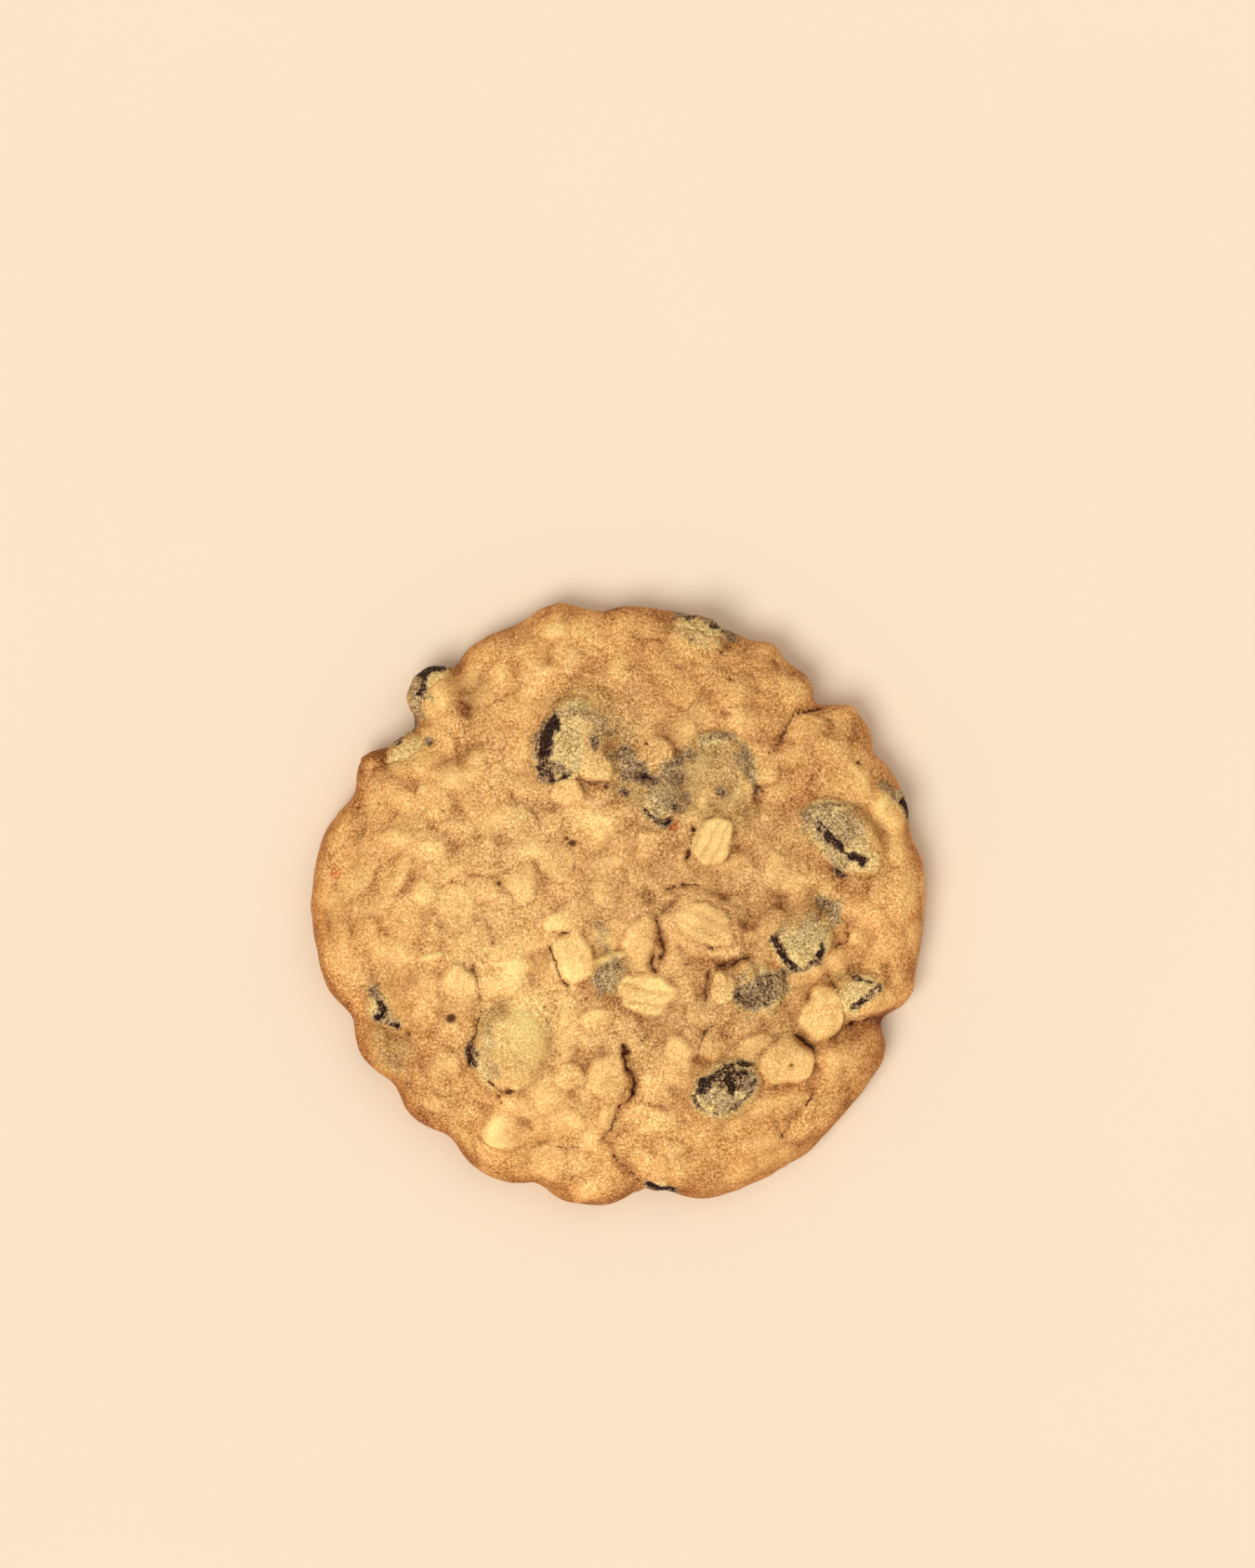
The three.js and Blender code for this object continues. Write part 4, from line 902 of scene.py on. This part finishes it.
broad_step = shade.plus(toasted, shade.ramp(shade.kept("tone"), 0, 1, -0.5 / TONE_GAIN, 0.5 / TONE_GAIN))
uneven = shade.between(shade.speckle(9, 2), 0.3, 0.7, 0.8, 1.15)
strength = shade.math("SUBTRACT", uneven, shade.times(shade.kept("pale"), 0.5))
sockets = {
    "Colour": veil.outputs["Colour"],
    "Strength": shade.times(strength, veil.outputs["Grit"]),
    "Step": shade.plus(shade.plus(relief_light_step, fibre_and_outline_shadow_step), broad_step),
}
grained = shade.add("ShaderNodeGroup", sockets, node_tree=dough_grain)

# Its painted shade over the grain: shadow lines along flake outlines where they are strongest, and the dark
# openings of cracks and pinholes.
outline_shadowed = shade.mix(shade.between(frayed, 1.04, 1.24, 0, 0.8), grained.outputs["Colour"], paint(128, 78, 42))
torn = shade.plus(shade.kept("crack_line_shade"), shade.times(shade.speckle(0.8, 3), 0.6))
crack_shaded = shade.mix(shade.between(torn, 1.08, 1.24, 0, 0.92), outline_shadowed, paint(88, 38, 19))
pinhole_shaded = shade.mix(shade.between(shade.kept("pinhole"), 0.25, 1.1), crack_shaded, paint(90, 48, 28))
crust_roughness = shade.between(grained.outputs["Grain"], 0, 1, 0.8, 0.66)
finish_material(shade, {"Base Color": pinhole_shaded, "Roughness": crust_roughness}, grained.outputs["Height"], 0.2,
                **{"Specular IOR Level": 0.16})
dough.data.materials.clear()
dough.data.materials.append(dough_material)
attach(dough, "root")
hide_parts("dough")

# ---------------------------------------------------------------- raisins
# Plump dark raisins that were stirred into the dough. Each is a wrinkled berry, longer than wide, that sits
# in its pocket with its top out of the crust, mostly under a thin greyish veil of dough.

RAISIN_CUTS = (12, 4)
BLUNT = 0.1
raisin_material, shade = new_material("raisin_skin")
film = shade.mix(shade.between(shade.speckle(3, 3), 0.35, 0.65), paint(232, 188, 120), paint(242, 202, 133))
# Painted shade browns the raisin's steep sides, where they turn down towards the dough.
shaded = shade.mix(shade.times(shade.kept("side_shade"), 0.8), film, paint(206, 150, 88))
veil = shade.add("ShaderNodeGroup", {"Colour": shaded, "Shows": shade.kept("shows")}, node_tree=raisin_veil)
sockets = {"Colour": veil.outputs["Colour"], "Strength": veil.outputs["Grit"], "Step": 0}
grained = shade.add("ShaderNodeGroup", sockets, node_tree=dough_grain)
skin_roughness = shade.between(veil.outputs["Bare"], 0, 1, 0.78, 0.42)
bump = shade.math("SUBTRACT", grained.outputs["Height"], shade.times(veil.outputs["Bare"], 0.8))
finish_material(shade, {"Base Color": grained.outputs["Colour"], "Roughness": skin_roughness}, bump, 0.14,
                **{"Specular IOR Level": 0.14})

for order, (name, (length, width, height, turn, wrinkle, _, _)) in enumerate(RAISINS.items()):
    raisin, around = ball(name.replace("raisin", "berry"), RAISIN_CUTS)
    body = around * np.array([length, width, height]) / 2
    body[:, 1:] *= (1 - BLUNT * around[:, 0])[:, None]
    swell = clouds(around, 1.1, 2, 20 + order)
    folds = np.abs(clouds(around * (0.75, 1.5, 1.5), 0.55, 2, 40 + order)) * 2
    creases_across = np.abs(clouds(around * (1.6, 1, 1), 0.4, 2, 60 + order))
    laid = middle_of(name) + body @ turning(turn)
    shows = veil_at(laid[:, 0], laid[:, 1], clouds(laid, 1.8, 3, 4))
    shows = np.maximum(shows, 0.06 + 0.12 * swell)
    bare = smooth(0.45, 0.95, shows)
    out_by = 0.3 * swell - wrinkle * (0.35 + 0.65 * bare) * (0.8 - folds) * 0.6
    out_by += 0.15 * creases_across * bare - 0.22 * bare
    normal = around / np.array([length, width, height])
    normal /= np.linalg.norm(normal, axis=1, keepdims=True)
    normal = normal @ turning(turn)
    wrinkled = laid + normal * out_by[:, None]
    keep_under_ceiling(wrinkled)
    put(raisin, wrinkled)
    bpy.ops.object.shade_smooth()
    note(raisin, "shows", shows * smooth(-0.6, 0.15, normal[:, 2]))
    # Painted shade on the raisin's steep sides.
    note(raisin, "side_shade", smooth(0.9, 0.5, normal[:, 2]))
    raisin.data.materials.clear()
    raisin.data.materials.append(raisin_material)
    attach(raisin, "root")
    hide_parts(name)

# ---------------------------------------------------------------- floor, light and camera
# A plain cream floor under soft studio light from the lower left, and a camera straight above the cookie.

FLOOR_SIZE = 3
WORLD_COLOUR = (1, 0.95, 0.86, 1)
WORLD_STRENGTH = 0.5
floor_material, shade = new_material("cream_floor")
cream = shade.mix(shade.speckle(60, 2), paint(246, 227, 201), paint(248, 229, 203))
finish_material(shade, {"Base Color": cream, "Roughness": 0.9}, shade.speckle(3, 2), 0.01,
                **{"Specular IOR Level": 0.1})
bpy.ops.object.select_all(action="DESELECT")
bpy.ops.mesh.primitive_plane_add(size=FLOOR_SIZE)
floor = bpy.context.object
floor.name = "floor"
floor.data.materials.append(floor_material)

scene = bpy.context.scene
world = bpy.data.worlds.new("studio")
world.use_nodes = True
background = world.node_tree.nodes["Background"].inputs
background["Color"].default_value = WORLD_COLOUR
background["Strength"].default_value = WORLD_STRENGTH
scene.world = world

# The lamps: strength, where each stands and how wide it looks in degrees.
LAMPS = {"key": (1.735, (-0.38, -0.45, 1), 36), "fill": (0.28, (0.7, 0.5, 1.2), 50)}
for name, (strength, towards, softness) in LAMPS.items():
    lamp = bpy.data.lights.new(name, "SUN")
    lamp.energy = strength
    lamp.angle = math.radians(softness)
    sun = bpy.data.objects.new(name, lamp)
    sun.rotation_euler = Vector(towards).to_track_quat("Z", "Y").to_euler()
    scene.collection.objects.link(sun)

# The middle of the view, how much it takes in from top to bottom, and at what height it does.
AIM = Vector((1.08, 17.6, 0)) * MM
FRAME_HEIGHT = 227.7 * MM
FRAME_LEVEL = DOME * MM * 0.8
LENS = 200
SENSOR = 36
camera_data = bpy.data.cameras.new("camera")
camera_data.lens = LENS
camera_data.sensor_width = SENSOR
camera = bpy.data.objects.new("camera", camera_data)
camera.location = AIM + Vector((0, 0, FRAME_LEVEL + FRAME_HEIGHT * LENS / SENSOR))
scene.collection.objects.link(camera)
scene.camera = camera
scene.view_settings.view_transform = "Standard"
